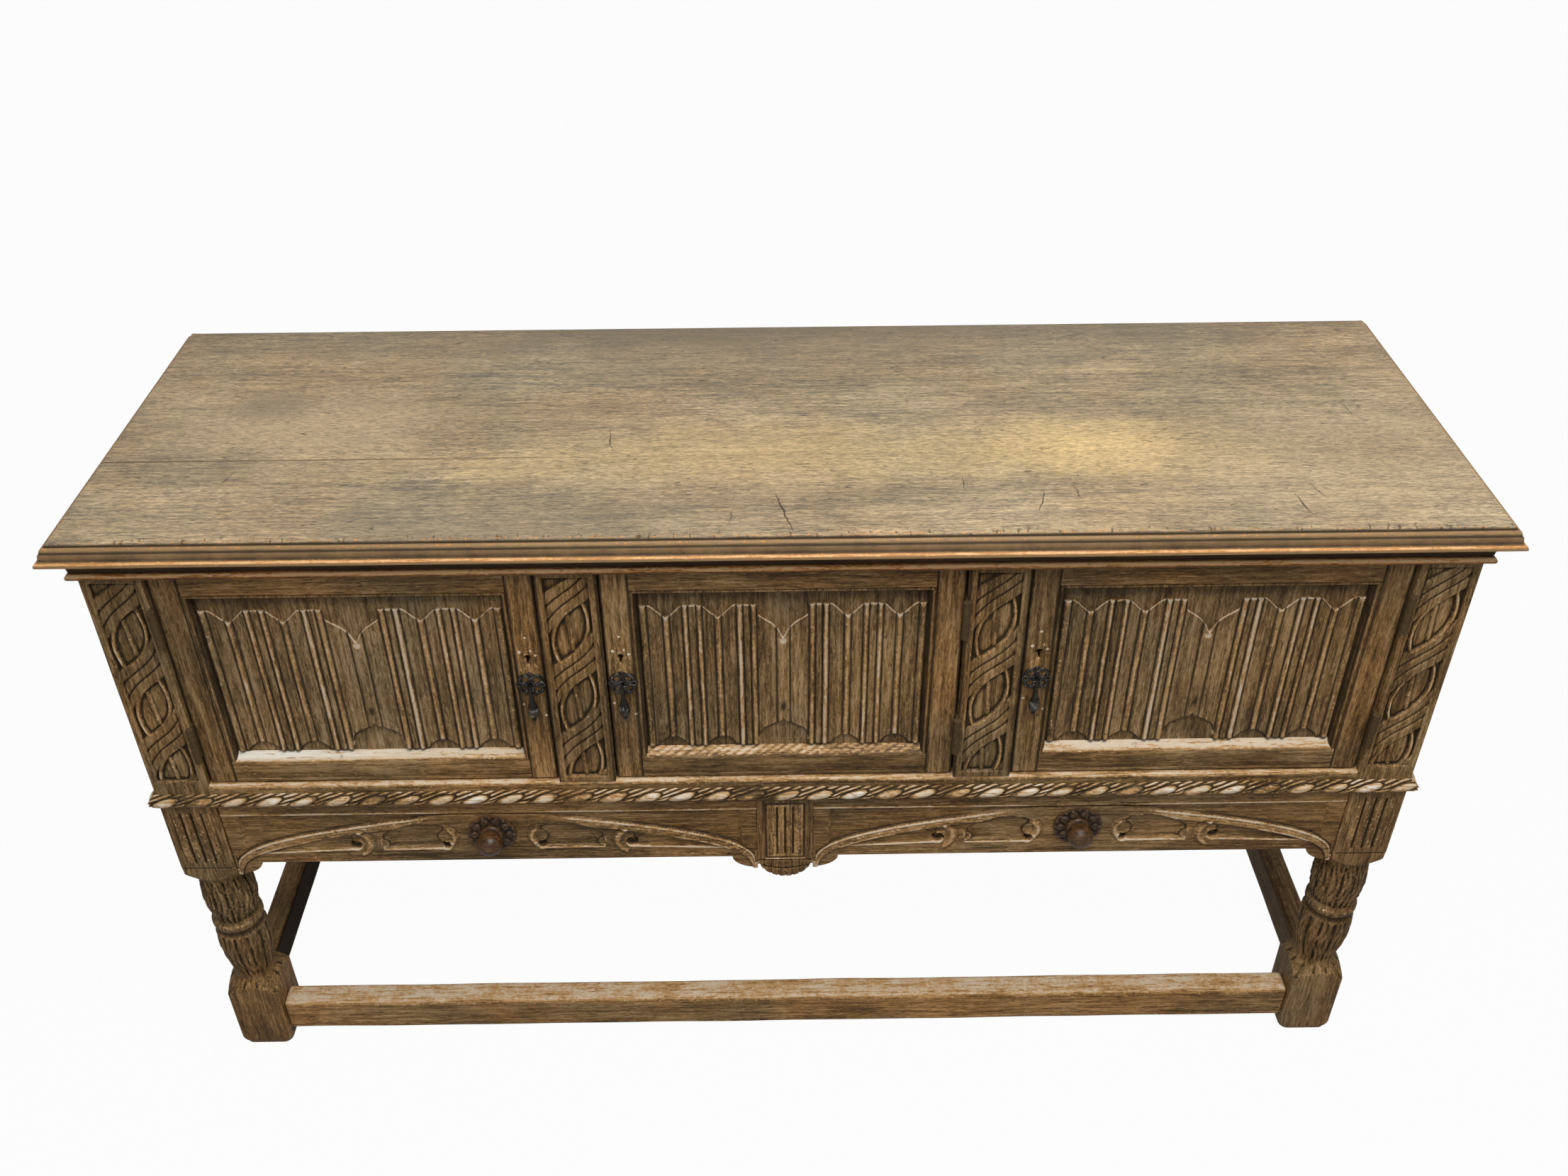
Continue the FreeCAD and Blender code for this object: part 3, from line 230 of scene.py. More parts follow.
def mesh_marks(mesh, name):
    """One kind of mark on a mesh's points, or 0 where it has none."""
    values = np.zeros(len(mesh.vertices))
    if name in mesh.attributes:
        mesh.attributes[name].data.foreach_get("value", values)
    return values


def wavered(points, seed, height, reach=170.0):
    """Points moved by a slow waver, at most `height` high and about `reach` from crest to crest."""
    random = np.random.default_rng(seed)
    moved = np.array(points, float)
    waves = 5
    for _ in range(waves):
        direction = random.normal(size=3)
        direction *= 2 * math.pi / (reach * random.uniform(0.5, 1.5)) / np.linalg.norm(direction)
        push = random.normal(size=3)
        push *= height / waves / np.linalg.norm(push)
        moved += np.sin(points @ direction + random.uniform(0, 2 * math.pi))[:, None] * push
    return moved


def make_piece(name, skin, body, material, nodes=(), waver=1.0, seed=0):
    """Puts a skin into the scene as a piece on a body, standing for the nodes.

    The waver says how many times the unevenness of planed wood the piece has, and the seed which one.
    """
    mesh = skin.mesh(name, waver * (sizes().unevenness / MM), seed)
    mesh.materials.append(material)
    piece = bpy.data.objects.new(name, mesh)
    bpy.context.scene.collection.objects.link(piece)
    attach(piece, body)
    if nodes:
        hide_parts(*nodes)


def spaced(start, end, step):
    """Places from start to end, about a step apart."""
    return np.linspace(start, end, max(2, int(round(abs(end - start) / step)) + 1))


def edge_lines(low, high, radius, step):
    """Places along a block's side: close together round both ends and a step apart between."""
    near = np.array([0.0, 0.12, 0.35, 0.65, 1.0, 1.7, 2.8]) * radius
    if high - low <= 2.2 * near[-1]:
        near = near[:5] * min(1.0, 0.45 * (high - low) / near[4])
    inner = spaced(low + near[-1], high - near[-1], step)
    return np.concatenate([low + near[:-1], inner, (high - near[:-1])[::-1]])


def rounded(points, low, high, radius):
    """Points on a box drawn in round its edges."""
    core = np.clip(points, np.asarray(low) + radius, np.asarray(high) - radius)
    away = points - core
    reach = np.linalg.norm(away, axis=-1, keepdims=True)
    return core + away * radius / np.maximum(reach, 1e-9)


def add_block(skin, low, high, radius, step=18.0, wear=0.8, tread=0.0, dirt_and_shade=()):
    """Adds a closed block with rounded, rubbed edges, a trodden top and the given darkened sides.

    A darkened side gets painted shade; it is a pair of its axis and its end: 0 for the low one and 1 for the
    high one.
    """
    low = np.asarray(low, float)
    high = np.asarray(high, float)
    lines = [edge_lines(low[axis], high[axis], radius, step) for axis in range(3)]
    for axis in range(3):
        first, second = [other for other in range(3) if other != axis]
        for end, level in enumerate((low[axis], high[axis])):
            across, up = np.meshgrid(lines[first], lines[second], indexing="ij")
            points = np.empty(across.shape + (3,))
            points[..., first] = across
            points[..., second] = up
            points[..., axis] = level
            edge = least(across - low[first], high[first] - across, up - low[second], high[second] - up)
            rubbed = wear * edge_rub(edge, radius)
            if axis == 2 and level == high[2]:
                rubbed = np.maximum(rubbed, tread)
            points = rounded(points, low, high, radius)
            skin.grid(points[..., 0], points[..., 1], points[..., 2], rubbed, 0.9 * ((axis, end) in dirt_and_shade))


def add_sweep(skin, section, corners, outs, up=(0, 0, 1), step=18.0, wear=0.0, grime=0.0, fade=(1.0, 1.0)):
    """Adds a closed section swept along straight runs that are mitred where they meet.

    The section holds pairs of reach, which goes the way of each run's `outs`, and height, which goes up.
    The wear fades from the first share to the second along the way.
    """
    section = np.asarray(section, float)
    up = np.asarray(up, float)
    corners = [np.asarray(corner, float) for corner in corners]
    outs = [np.asarray(out, float) for out in outs]
    rings = []
    for place, corner in enumerate(corners):
        out = sum(outs[max(place - 1, 0):place + 1], np.zeros(3))
        rings.append(corner + section[:, :1] * out + section[:, 1:] * up)
    rows = []
    for start, end in zip(rings[:-1], rings[1:]):
        run = np.linalg.norm(end - start, axis=1).max()
        share = spaced(0.0, 1.0, step / run)[:-1, None, None]
        rows.append(start + (end - start) * share)
    rows = np.concatenate(rows + [rings[-1][None]])
    wear = np.linspace(*fade, len(rows))[:, None] * np.broadcast_to(wear, len(section))
    grime = np.broadcast_to(grime, len(section))
    skin.grid(rows[..., 0], rows[..., 1], rows[..., 2], wear, grime, wrap=True)
    skin.face(rows[0], wear[0], grime)
    skin.face(rows[-1], wear[-1], grime)


def add_plain_block(skin, low, high):
    """Adds a sharp, unworn block behind a carved front."""
    add_block(skin, low, high, radius=0.2, step=60.0, wear=0.0)


def add_layer(skin, low, high, solid_x, levels):
    """Adds a layer behind a carved front: whole below and above two levels, and solid_x wide between them."""
    whole = (low[0], high[0])
    spans = ((whole, (low[2], levels[0])), (solid_x, levels), (whole, (levels[1], high[2])))
    for (left, right), (foot, head) in spans:
        add_plain_block(skin, (left, low[1], foot), (right, high[1], head))


def grid_rim(rows, columns):
    """Rows and columns of the points round the rim of a grid, in their order."""
    down, across = np.arange(rows), np.arange(columns)
    row = [0 * across[:-1], down[:-1], 0 * across[:-1] + rows - 1, down[:0:-1]]
    column = [across[:-1], 0 * down[:-1] + columns - 1, across[:0:-1], 0 * down[:-1]]
    return np.concatenate(row), np.concatenate(column)


def add_slab(skin, x, z, y, back, wear, grime):
    """Adds a closed slab with a carved front and a flat back."""
    skin.grid(x, y, z, wear, grime)
    rim = grid_rim(*x.shape)
    behind = np.full(len(rim[0]), back)
    skin.grid(
        np.array([x[rim], x[rim]]), np.array([y[rim], behind]), np.array([z[rim], z[rim]]),
        np.array([wear[rim], 0 * wear[rim]]), wrap=True,
    )
    skin.face(np.stack([x[rim], behind, z[rim]], -1))


def add_turned(skin, profile, centre, axis, around=48, wear=0.0, grime=0.0, shape=None):
    """Adds a turned solid from pairs of radius and distance along its axis."""
    profile = np.asarray(profile, float)
    axis = np.asarray(axis, float)
    side = np.cross(axis, (0.0, 0.0, 1.0)) if abs(axis[2]) < 0.9 else np.array([1.0, 0.0, 0.0])
    side /= np.linalg.norm(side)
    other = np.cross(axis, side)
    angle = np.linspace(0, 2 * math.pi, around, endpoint=False)
    radius = np.repeat(profile[:, :1], around, axis=1)
    if shape is not None:
        radius = radius + shape(angle[None, :], profile[:, 1:], radius)
    spread = np.cos(angle)[:, None] * side + np.sin(angle)[:, None] * other
    points = np.asarray(centre, float) + radius[..., None] * spread + profile[:, 1, None, None] * axis
    wear = np.broadcast_to(np.reshape(wear, (-1, 1)), radius.shape)
    grime = np.broadcast_to(np.reshape(grime, (-1, 1)), radius.shape)
    skin.grid(points[..., 0], points[..., 1], points[..., 2], wear, grime, wrap=True)


def blurred(height, cells):
    """Heights averaged over a square of cells, twice."""
    for _ in range(2):
        for axis in (0, 1):
            padded = np.concatenate([
                np.repeat(height.take([0], axis), cells + 1, axis), height,
                np.repeat(height.take([-1], axis), cells, axis),
            ], axis)
            total = np.cumsum(padded, axis)
            span = 2 * cells + 1
            upper = total.take(range(span, total.shape[axis]), axis)
            lower = total.take(range(total.shape[axis] - span), axis)
            height = (upper - lower) / span
    return height


def relief_marks(height, cells=4, crest=0.9, hollow=1.6):
    """Rubbing on the crests and darkening in the hollows of a carved height, in millimetres; the darkening is
    partly dirt and partly painted shade.
    """
    difference = height - blurred(height, cells)
    wear = np.clip(difference / crest, 0.0, 1.0)
    grime = np.clip(-difference / hollow, 0.0, 1.0)
    return wear, grime


def least(*values):
    """The least of several arrays at each place."""
    return functools.reduce(np.minimum, values)


def most(*values):
    """The greatest of several arrays at each place."""
    return functools.reduce(np.maximum, values)


def smooth_step(low, high, value):
    """0 below low, 1 above high, and a smooth rise between."""
    share = np.clip((value - low) / (high - low), 0.0, 1.0)
    return share * share * (3 - 2 * share)


def smooth_band(value, start, whole, whole_end, end):
    """1 from whole to whole_end, and a smooth fall to 0 at start and end."""
    return smooth_step(start, whole, value) * smooth_step(end, whole_end, value)


def bump(value, half_width):
    """A half-round of height 1 that ends at the half width."""
    share = np.clip(np.abs(value) / half_width, 0.0, 1.0)
    return np.sqrt(1 - share * share)


def soft_line(value, width):
    """1 where the value is 0, fading to both sides over the width."""
    return np.exp(-(value / width) ** 2)


def soft_spot(x, z, wide, tall):
    """1 at the origin, fading over the width and the height."""
    return np.exp(-(x / wide) ** 2 - (z / tall) ** 2)


def edge_roll(edge, radius):
    """How far a rounded edge falls away, at a distance from the edge."""
    return radius - np.sqrt(np.maximum(radius ** 2 - np.maximum(radius - edge, 0) ** 2, 0))


def edge_rub(edge, radius):
    """How far a rounded edge is rubbed, at a distance from the edge."""
    return np.clip(1.15 - edge / (1.7 * radius), 0, 1)


# Geometry Nodes

def copies_tree(name, round_ring):
    """A tree that sets copies of one shape in a row along X, or round a ring in the XY plane."""
    tree = bpy.data.node_groups.new(name, "GeometryNodeTree")
    inputs = (("Copy", "Object"), ("Count", "Int"), ("Spacing", "Float"), ("Material", "Material"))
    identifiers = {
        label: tree.interface.new_socket(label, in_out="INPUT", socket_type="NodeSocket" + kind).identifier
        for label, kind in inputs
    }
    tree.interface.new_socket("Geometry", in_out="OUTPUT", socket_type="NodeSocketGeometry")
    nodes = Nodes(tree)
    given = nodes.add("NodeGroupInput").outputs
    shape = nodes.add("GeometryNodeObjectInfo", {"Object": given["Copy"]}).outputs["Geometry"]
    if round_ring:
        ring = {"Vertices": given["Count"], "Radius": given["Spacing"]}
        places = nodes.add("GeometryNodeMeshCircle", ring, fill_type="NONE").outputs["Mesh"]
        number = nodes.add("GeometryNodeInputIndex").outputs[0]
        turn = nodes.math("DIVIDE", nodes.times(number, 2 * math.pi), given["Count"])
        turned = nodes.add("ShaderNodeCombineXYZ", {"Z": turn}).outputs[0]
    else:
        step = nodes.add("ShaderNodeCombineXYZ", {"X": given["Spacing"]}).outputs[0]
        row = {"Count": given["Count"], "Offset": step}
        places = nodes.add("GeometryNodeMeshLine", row, mode="OFFSET").outputs["Mesh"]
        turned = (0.0, 0.0, 0.0)
    copies = nodes.add(
        "GeometryNodeInstanceOnPoints", {"Points": places, "Instance": shape, "Rotation": turned}
    ).outputs[0]
    real = nodes.add("GeometryNodeRealizeInstances", {"Geometry": copies}).outputs[0]
    sewing = {"Geometry": real, "Distance": SEW_REACH * MM}
    sewn = nodes.add("GeometryNodeMergeByDistance", sewing).outputs[0]
    finish = {"Geometry": sewn, "Material": given["Material"]}
    finished = nodes.add("GeometryNodeSetMaterial", finish).outputs[0]
    nodes.add("NodeGroupOutput", {"Geometry": finished})
    return tree, identifiers


def made_copies(name, shape, count, spacing, material, round_ring):
    """A plain mesh of copies of a mesh, set by Geometry Nodes."""
    tree, identifiers = copies_tree(name, round_ring)
    source = bpy.data.objects.new(name + "_source", shape)
    holder = bpy.data.objects.new(name + "_holder", bpy.data.meshes.new(name))
    for obj in (source, holder):
        bpy.context.scene.collection.objects.link(obj)
    modifier = holder.modifiers.new(name, "NODES")
    modifier.node_group = tree
    values = {"Copy": source, "Count": count, "Spacing": spacing * MM, "Material": material}
    for label, value in values.items():
        modifier[identifiers[label]] = value
    depsgraph = bpy.context.evaluated_depsgraph_get()
    mesh = bpy.data.meshes.new_from_object(holder.evaluated_get(depsgraph), depsgraph=depsgraph)
    bpy.data.objects.remove(holder)
    bpy.data.objects.remove(source)
    bpy.data.node_groups.remove(tree)
    return mesh


# Materials

class Nodes:
    """Adds nodes to one tree."""

    def __init__(self, tree):
        self.tree = tree

    def add(self, kind, inputs=(), **settings):
        node = self.tree.nodes.new(kind)
        for key, value in settings.items():
            setattr(node, key, value)
        self.give(node, inputs)
        return node

    def give(self, node, inputs):
        """Links each input that is given as a socket, and sets the others."""
        for key, value in dict(inputs).items():
            if isinstance(value, bpy.types.NodeSocket):
                self.tree.links.new(value, node.inputs[key])
            else:
                node.inputs[key].default_value = value

    def math(self, operation, *values, clamp=False):
        return self.add("ShaderNodeMath", enumerate(values), operation=operation, use_clamp=clamp).outputs[0]

    def plus(self, first, second):
        return self.math("ADD", first, second)

    def less(self, first, second, clamp=False):
        return self.math("SUBTRACT", first, second, clamp=clamp)

    def times(self, first, second):
        return self.math("MULTIPLY", first, second)

    def most(self, *values):
        return functools.reduce(functools.partial(self.math, "MAXIMUM"), values)

    def weighted(self, *parts):
        """The sum of values that are each given with a weight."""
        return functools.reduce(self.plus, [self.times(value, weight) for value, weight in parts])

    def vector(self, operation, first, second):
        return self.add("ShaderNodeVectorMath", {0: first, 1: second}, operation=operation).outputs[0]

    def between(self, value, low, high, to_low=0.0, to_high=1.0):
        """A smooth change from to_low at low to to_high at high."""
        inputs = {"Value": value, "From Min": low, "From Max": high, "To Min": to_low, "To Max": to_high}
        return self.add("ShaderNodeMapRange", inputs, interpolation_type="SMOOTHSTEP").outputs["Result"]

    def noise(self, vector, scale, detail=3.0, roughness=0.55, distortion=0.0):
        inputs = {
            "Vector": vector, "Scale": scale, "Detail": detail, "Roughness": roughness,
            "Distortion": distortion,
        }
        return self.add("ShaderNodeTexNoise", inputs).outputs[0]

    def grain(self, vector, along, across, *figure):
        """Noise with its own scale along X and across it."""
        return self.noise(self.vector("MULTIPLY", vector, (along, across, across)), 1.0, *figure)

    def blend(self, factor, first, second, kind="MIX"):
        first, second = [
            value if isinstance(value, bpy.types.NodeSocket) else (*value, 1.0) for value in (first, second)
        ]
        node = self.add("ShaderNodeMix", data_type="RGBA", blend_type=kind)
        self.give(node, {0: factor, 6: first, 7: second})
        return node.outputs[2]

    def shaded(self, tone, shade):
        """A tone made darker or lighter by a number."""
        grey = self.add("ShaderNodeCombineColor", {"Red": shade, "Green": shade, "Blue": shade}).outputs[0]
        return self.blend(1.0, tone, grey, "MULTIPLY")

    def bumped(self, height, strength, distance):
        inputs = {"Strength": strength, "Distance": distance, "Height": height}
        return self.add("ShaderNodeBump", inputs).outputs[0]

    def group(self, tree, inputs):
        return self.add("ShaderNodeGroup", inputs, node_tree=tree).outputs

    def attribute(self, name):
        return self.add("ShaderNodeAttribute", attribute_name=name).outputs["Fac"]


def shader_group(name, inputs, outputs):
    """A shader node group with inputs of the given kinds and outputs of numbers, its nodes and its inputs."""
    tree = bpy.data.node_groups.new(name, "ShaderNodeTree")
    for label, kind in inputs.items():
        tree.interface.new_socket(label, in_out="INPUT", socket_type="NodeSocket" + kind)
    for label in outputs:
        tree.interface.new_socket(label, in_out="OUTPUT", socket_type="NodeSocketFloat")
    nodes = Nodes(tree)
    return tree, nodes, nodes.add("NodeGroupInput").outputs


def oak_figure_group():
    """Figure of oak with its grain along X: broad tone, fine pores and the height of both."""
    name = "oak figure"
    if name in bpy.data.node_groups:
        return bpy.data.node_groups[name]
    inputs = {"Vector": "Vector", "Board": "Float"}
    tree, nodes, given = shader_group(name, inputs, ("Tone", "Pores", "Height"))
    next_board = (13.1, 7.7, 3.3)
    shift = nodes.add("ShaderNodeVectorMath", {0: next_board, "Scale": given["Board"]}, operation="SCALE")
    place = nodes.vector("ADD", given["Vector"], shift.outputs[0])
    broad = nodes.grain(place, 2.2, 18.0, 3.0, 0.55, 0.9)
    streak = nodes.grain(place, 13.0, 240.0, 4.0, 0.7, 0.4)
    rays = nodes.grain(place, 55.0, 260.0, 3.0, 0.65, 1.6)
    dashes = nodes.grain(place, 70.0, 640.0, 2.0, 0.6, 0.2)
    tone = nodes.weighted((broad, 0.20), (streak, 0.46), (rays, 0.34))
    pores = nodes.between(dashes, 0.58, 0.70)
    height = nodes.weighted((streak, 0.6), (pores, -0.6))
    nodes.add("NodeGroupOutput", {
        "Tone": nodes.between(tone, 0.36, 0.64), "Pores": pores, "Height": height,
    })
    return tree


def age_group():
    """Marks of age with painted light: edges rubbed bare and painted highlights, dirt and painted shade in
    the hollows and gaps, and small knocks.
    """
    name = "marks of age"
    if name in bpy.data.node_groups:
        return bpy.data.node_groups[name]
    inputs = {"Vector": "Vector", "Wear": "Float", "Grime": "Float"}
    tree, nodes, given = shader_group(name, inputs, ("Worn", "Soiled", "Knocks", "Blotch"))
    patches = nodes.noise(given["Vector"], 26.0, 5.0, 0.7)
    chips = nodes.noise(given["Vector"], 230.0, 3.0, 0.6)
    rub = nodes.weighted((patches, 0.75), (chips, 0.45))
    worn = nodes.between(nodes.plus(given["Wear"], nodes.less(rub, 0.6)), 0.28, 0.95)
    near_wear = nodes.between(given["Wear"], 0.05, 0.45)
    flecks = nodes.times(nodes.between(chips, 0.56, 0.66), near_wear)
    worn = nodes.most(worn, nodes.times(flecks, 0.8))
    dirt = nodes.times(nodes.less(patches, 0.5), 0.7)
    soiled_and_shaded = nodes.between(nodes.plus(given["Grime"], dirt), 0.08, 0.85)
    knocks = nodes.between(nodes.noise(given["Vector"], 95.0, 2.0, 0.5), 0.68, 0.74)
    blotch = nodes.noise(given["Vector"], 7.0, 4.0, 0.6, 0.4)
    nodes.add("NodeGroupOutput", {"Worn": worn, "Soiled": soiled_and_shaded, "Knocks": knocks, "Blotch": blotch})
    return tree


def scratch_group():
    """A single scratch: a thin line of a given length at a given place and angle on a level surface."""
    name = "scratch"
    if name in bpy.data.node_groups:
        return bpy.data.node_groups[name]
    inputs = {
        "Vector": "Vector", "Centre": "Vector", "Angle": "Float",
        "Half Length": "Float", "Half Width": "Float",
    }
    tree, nodes, given = shader_group(name, inputs, ("Mask",))
    place = nodes.vector("SUBTRACT", given["Vector"], given["Centre"])
    turning = {"Vector": place, "Angle": given["Angle"]}
    turned = nodes.add("ShaderNodeVectorRotate", turning, rotation_type="Z_AXIS")
    parts = nodes.add("ShaderNodeSeparateXYZ", {0: turned.outputs[0]}).outputs
    wander = nodes.times(nodes.less(nodes.noise(given["Vector"], 45.0), 0.5), 0.012)
    across = nodes.math("ABSOLUTE", nodes.plus(parts["Y"], wander))
    along = nodes.math("DIVIDE", nodes.math("ABSOLUTE", parts["X"]), given["Half Length"])
    width = nodes.times(given["Half Width"], nodes.less(1.0, along, clamp=True))
    mask = nodes.between(nodes.less(width, across), 0.0, 0.0005)
    nodes.add("NodeGroupOutput", {"Mask": mask})
    return tree


# Scratches on the top: place in metres, angle from the X axis in degrees, and half length and half width in
# metres.
TOP_SCRATCHES = (
    ((0.002, -0.205, 0.915), 103.0, 0.052, 0.0017),
    ((0.300, -0.190, 0.915), 78.0, 0.034, 0.0011),
    ((0.345, -0.170, 0.915), 98.0, 0.026, 0.0009),
    ((0.600, -0.205, 0.915), 104.0, 0.038, 0.0013),
    ((0.625, -0.175, 0.915), 112.0, 0.026, 0.0009),
    ((-0.209, -0.040, 0.915), 97.0, 0.042, 0.0010),
    ((0.215, -0.150, 0.915), 93.0, 0.028, 0.0008),
    ((-0.060, -0.215, 0.915), 84.0, 0.024, 0.0008),
    ((-0.420, -0.170, 0.915), 20.0, 0.060, 0.0007),
    ((0.480, -0.120, 0.915), 165.0, 0.050, 0.0007),
    ((0.130, 0.060, 0.915), 35.0, 0.030, 0.0007),
    ((-0.660, -0.120, 0.915), 70.0, 0.028, 0.0008),
    ((0.720, 0.020, 0.915), 100.0, 0.030, 0.0008),
)

# Where the two boards of the top meet, in metres.
TOP_JOINT = -0.0795

# Patches on the top: place across and deep, half width and half depth in metres, and strength.
# The gold patches are partly rubbing and partly a painted sheen of the light on the top.
GOLD_SHEEN_PATCHES = ((0.38, -0.070, 0.26, 0.10, 1.0), (0.10, -0.075, 0.85, 0.10, 0.45))
PALE_PATCHES = ((0.70, -0.10, 0.42, 0.20, 0.45), (-0.60, 0.0, 0.28, 0.14, 1.0))
DARK_STAINS = (
    (-0.655, 0.055, 0.085, 0.055, 0.6), (-0.02, 0.32, 1.2, 0.25, 1.0), (-0.38, -0.235, 0.40, 0.085, 0.45),
)

# Grain runs the way of the first axis.
GRAIN_AXES = {"across": "XYZ", "upright": "ZXY", "deep": "YXZ"}


def new_material(name):
    """An empty material with its shader, and its nodes."""
    material = bpy.data.materials.new(name)
    material.use_nodes = True
    material.node_tree.nodes.clear()
    nodes = Nodes(material.node_tree)
    shader = nodes.add("ShaderNodeBsdfPrincipled")
    nodes.add("ShaderNodeOutputMaterial", {"Surface": shader.outputs[0]})
    return material, nodes, shader


def darkened(tone, share):
    """A share of a tone."""
    return tuple(share * part for part in tone)


# Kinds of oak: the first word of its tones, the range of its blotches, its roughness and specular level, and
# the tints of its cool and warm patches.
OAK_KINDS = {
    "front": ("oak", (0.88, 1.48), 0.46, 0.16, (0.98, 1.13, 1.36), (1.08, 1.07, 1.08)),
    "panel": ("oak", (1.02, 1.58), 0.46, 0.16, (0.97, 1.16, 1.52), (1.03, 1.10, 1.26)),
    "door": ("oak", (0.94, 1.60), 0.46, 0.16, (1.00, 1.11, 1.30), (1.12, 1.08, 1.06)),
    "stretcher": ("oak", (1.25, 1.95), 0.46, 0.16, (1.02, 1.10, 1.26), (1.14, 1.06, 0.98)),
    "cornice": ("oak", (0.80, 1.25), 0.42, 0.25, (1.10, 0.94, 0.74), (1.30, 0.94, 0.60)),
    "polished": ("oak", (0.36, 0.56), 0.32, 0.42, (1.00, 0.88, 0.76), (1.20, 0.88, 0.62)),
    "top": ("top", (0.93, 1.06), 0.46, 0.35, (0.95, 1.00, 1.02), (1.02, 0.99, 0.95)),
    "inside": ("inside", (0.80, 1.15), 0.66, 0.30, (0.95, 1.00, 1.02), (1.10, 0.98, 0.80)),
}


def oak(grain, kind="front"):
    """Oak of one kind with its grain one way."""
    name = f"oak_{kind}_{grain}"
    if name in bpy.data.materials:
        return bpy.data.materials[name]
    paint = colours()
    timber, blotches, base_rough, gloss, cool, warm = OAK_KINDS[kind]
    dark, mid, light = [getattr(paint, f"{timber}_{tone}") for tone in ("dark", "mid", "light")]
    material, nodes, shader = new_material(name)
    place = nodes.add("ShaderNodeTexCoord").outputs["Object"]
    parts = nodes.add("ShaderNodeSeparateXYZ", {0: place}).outputs
    axes = {number: parts[axis] for number, axis in enumerate(GRAIN_AXES[grain])}
    grained = nodes.add("ShaderNodeCombineXYZ", axes).outputs[0]
    figure = nodes.group(oak_figure_group(), {"Vector": grained, "Board": nodes.attribute("board")})
    # These marks carry rubbing with painted highlights, and dirt with painted shade.
    rub = nodes.attribute("wear")
    age = nodes.group(age_group(), {"Vector": place, "Wear": rub, "Grime": nodes.attribute("grime")})
    tone = nodes.blend(nodes.between(figure["Tone"], 0.0, 0.55), dark, mid)
    tone = nodes.blend(nodes.between(figure["Tone"], 0.45, 1.0), tone, light)
    tone = nodes.shaded(tone, nodes.between(age["Blotch"], 0.32, 0.70, *blotches))
    warmth = nodes.between(nodes.noise(place, 5.0, 3.0, 0.6), 0.35, 0.65)
    tone = nodes.blend(1.0, tone, nodes.blend(warmth, cool, warm), "MULTIPLY")
    height = figure["Height"]
    if kind == "top":
        tone, height = stained_top(nodes, place, parts, tone, height)
    tone = nodes.blend(nodes.times(figure["Pores"], 0.5), tone, darkened(dark, 0.55))
    # The worn tone mixes real rubbing with painted highlights on lips, beads and sills.
    bare = nodes.times(age["Worn"], nodes.between(figure["Tone"], 0.0, 0.7, 0.34, 1.0))
    worn = nodes.blend(nodes.between(bare, 0.45, 0.95), paint.oak_rubbed, paint.oak_worn)
    # The bleached tone also paints the painted highlight on the sills and other highly rubbed lips.
    bleach_and_sheen = nodes.times(nodes.between(rub, 0.95, 1.4), nodes.between(figure["Tone"], 0.1, 0.5))
    worn = nodes.blend(bleach_and_sheen, worn, paint.oak_bleached)
    if kind in ("cornice", "top"):
        worn = nodes.blend(1.0, worn, (1.15, 0.86, 0.56), "MULTIPLY")
    tone = nodes.blend(nodes.between(bare, 0.02, 0.60), tone, worn)
    tone = nodes.blend(nodes.times(age["Soiled"], 0.88), tone, paint.oak_grime)
    tone = nodes.blend(nodes.times(age["Knocks"], 0.35), tone, darkened(dark, 0.5))
    roughened = nodes.weighted((figure["Tone"], 0.10), (age["Soiled"], 0.25))
    nodes.give(shader, {
        "Base Color": tone, "Roughness": nodes.plus(base_rough, roughened),
        "Normal": nodes.bumped(height, 0.55, 0.0009), "Specular IOR Level": gloss,
    })
    return material


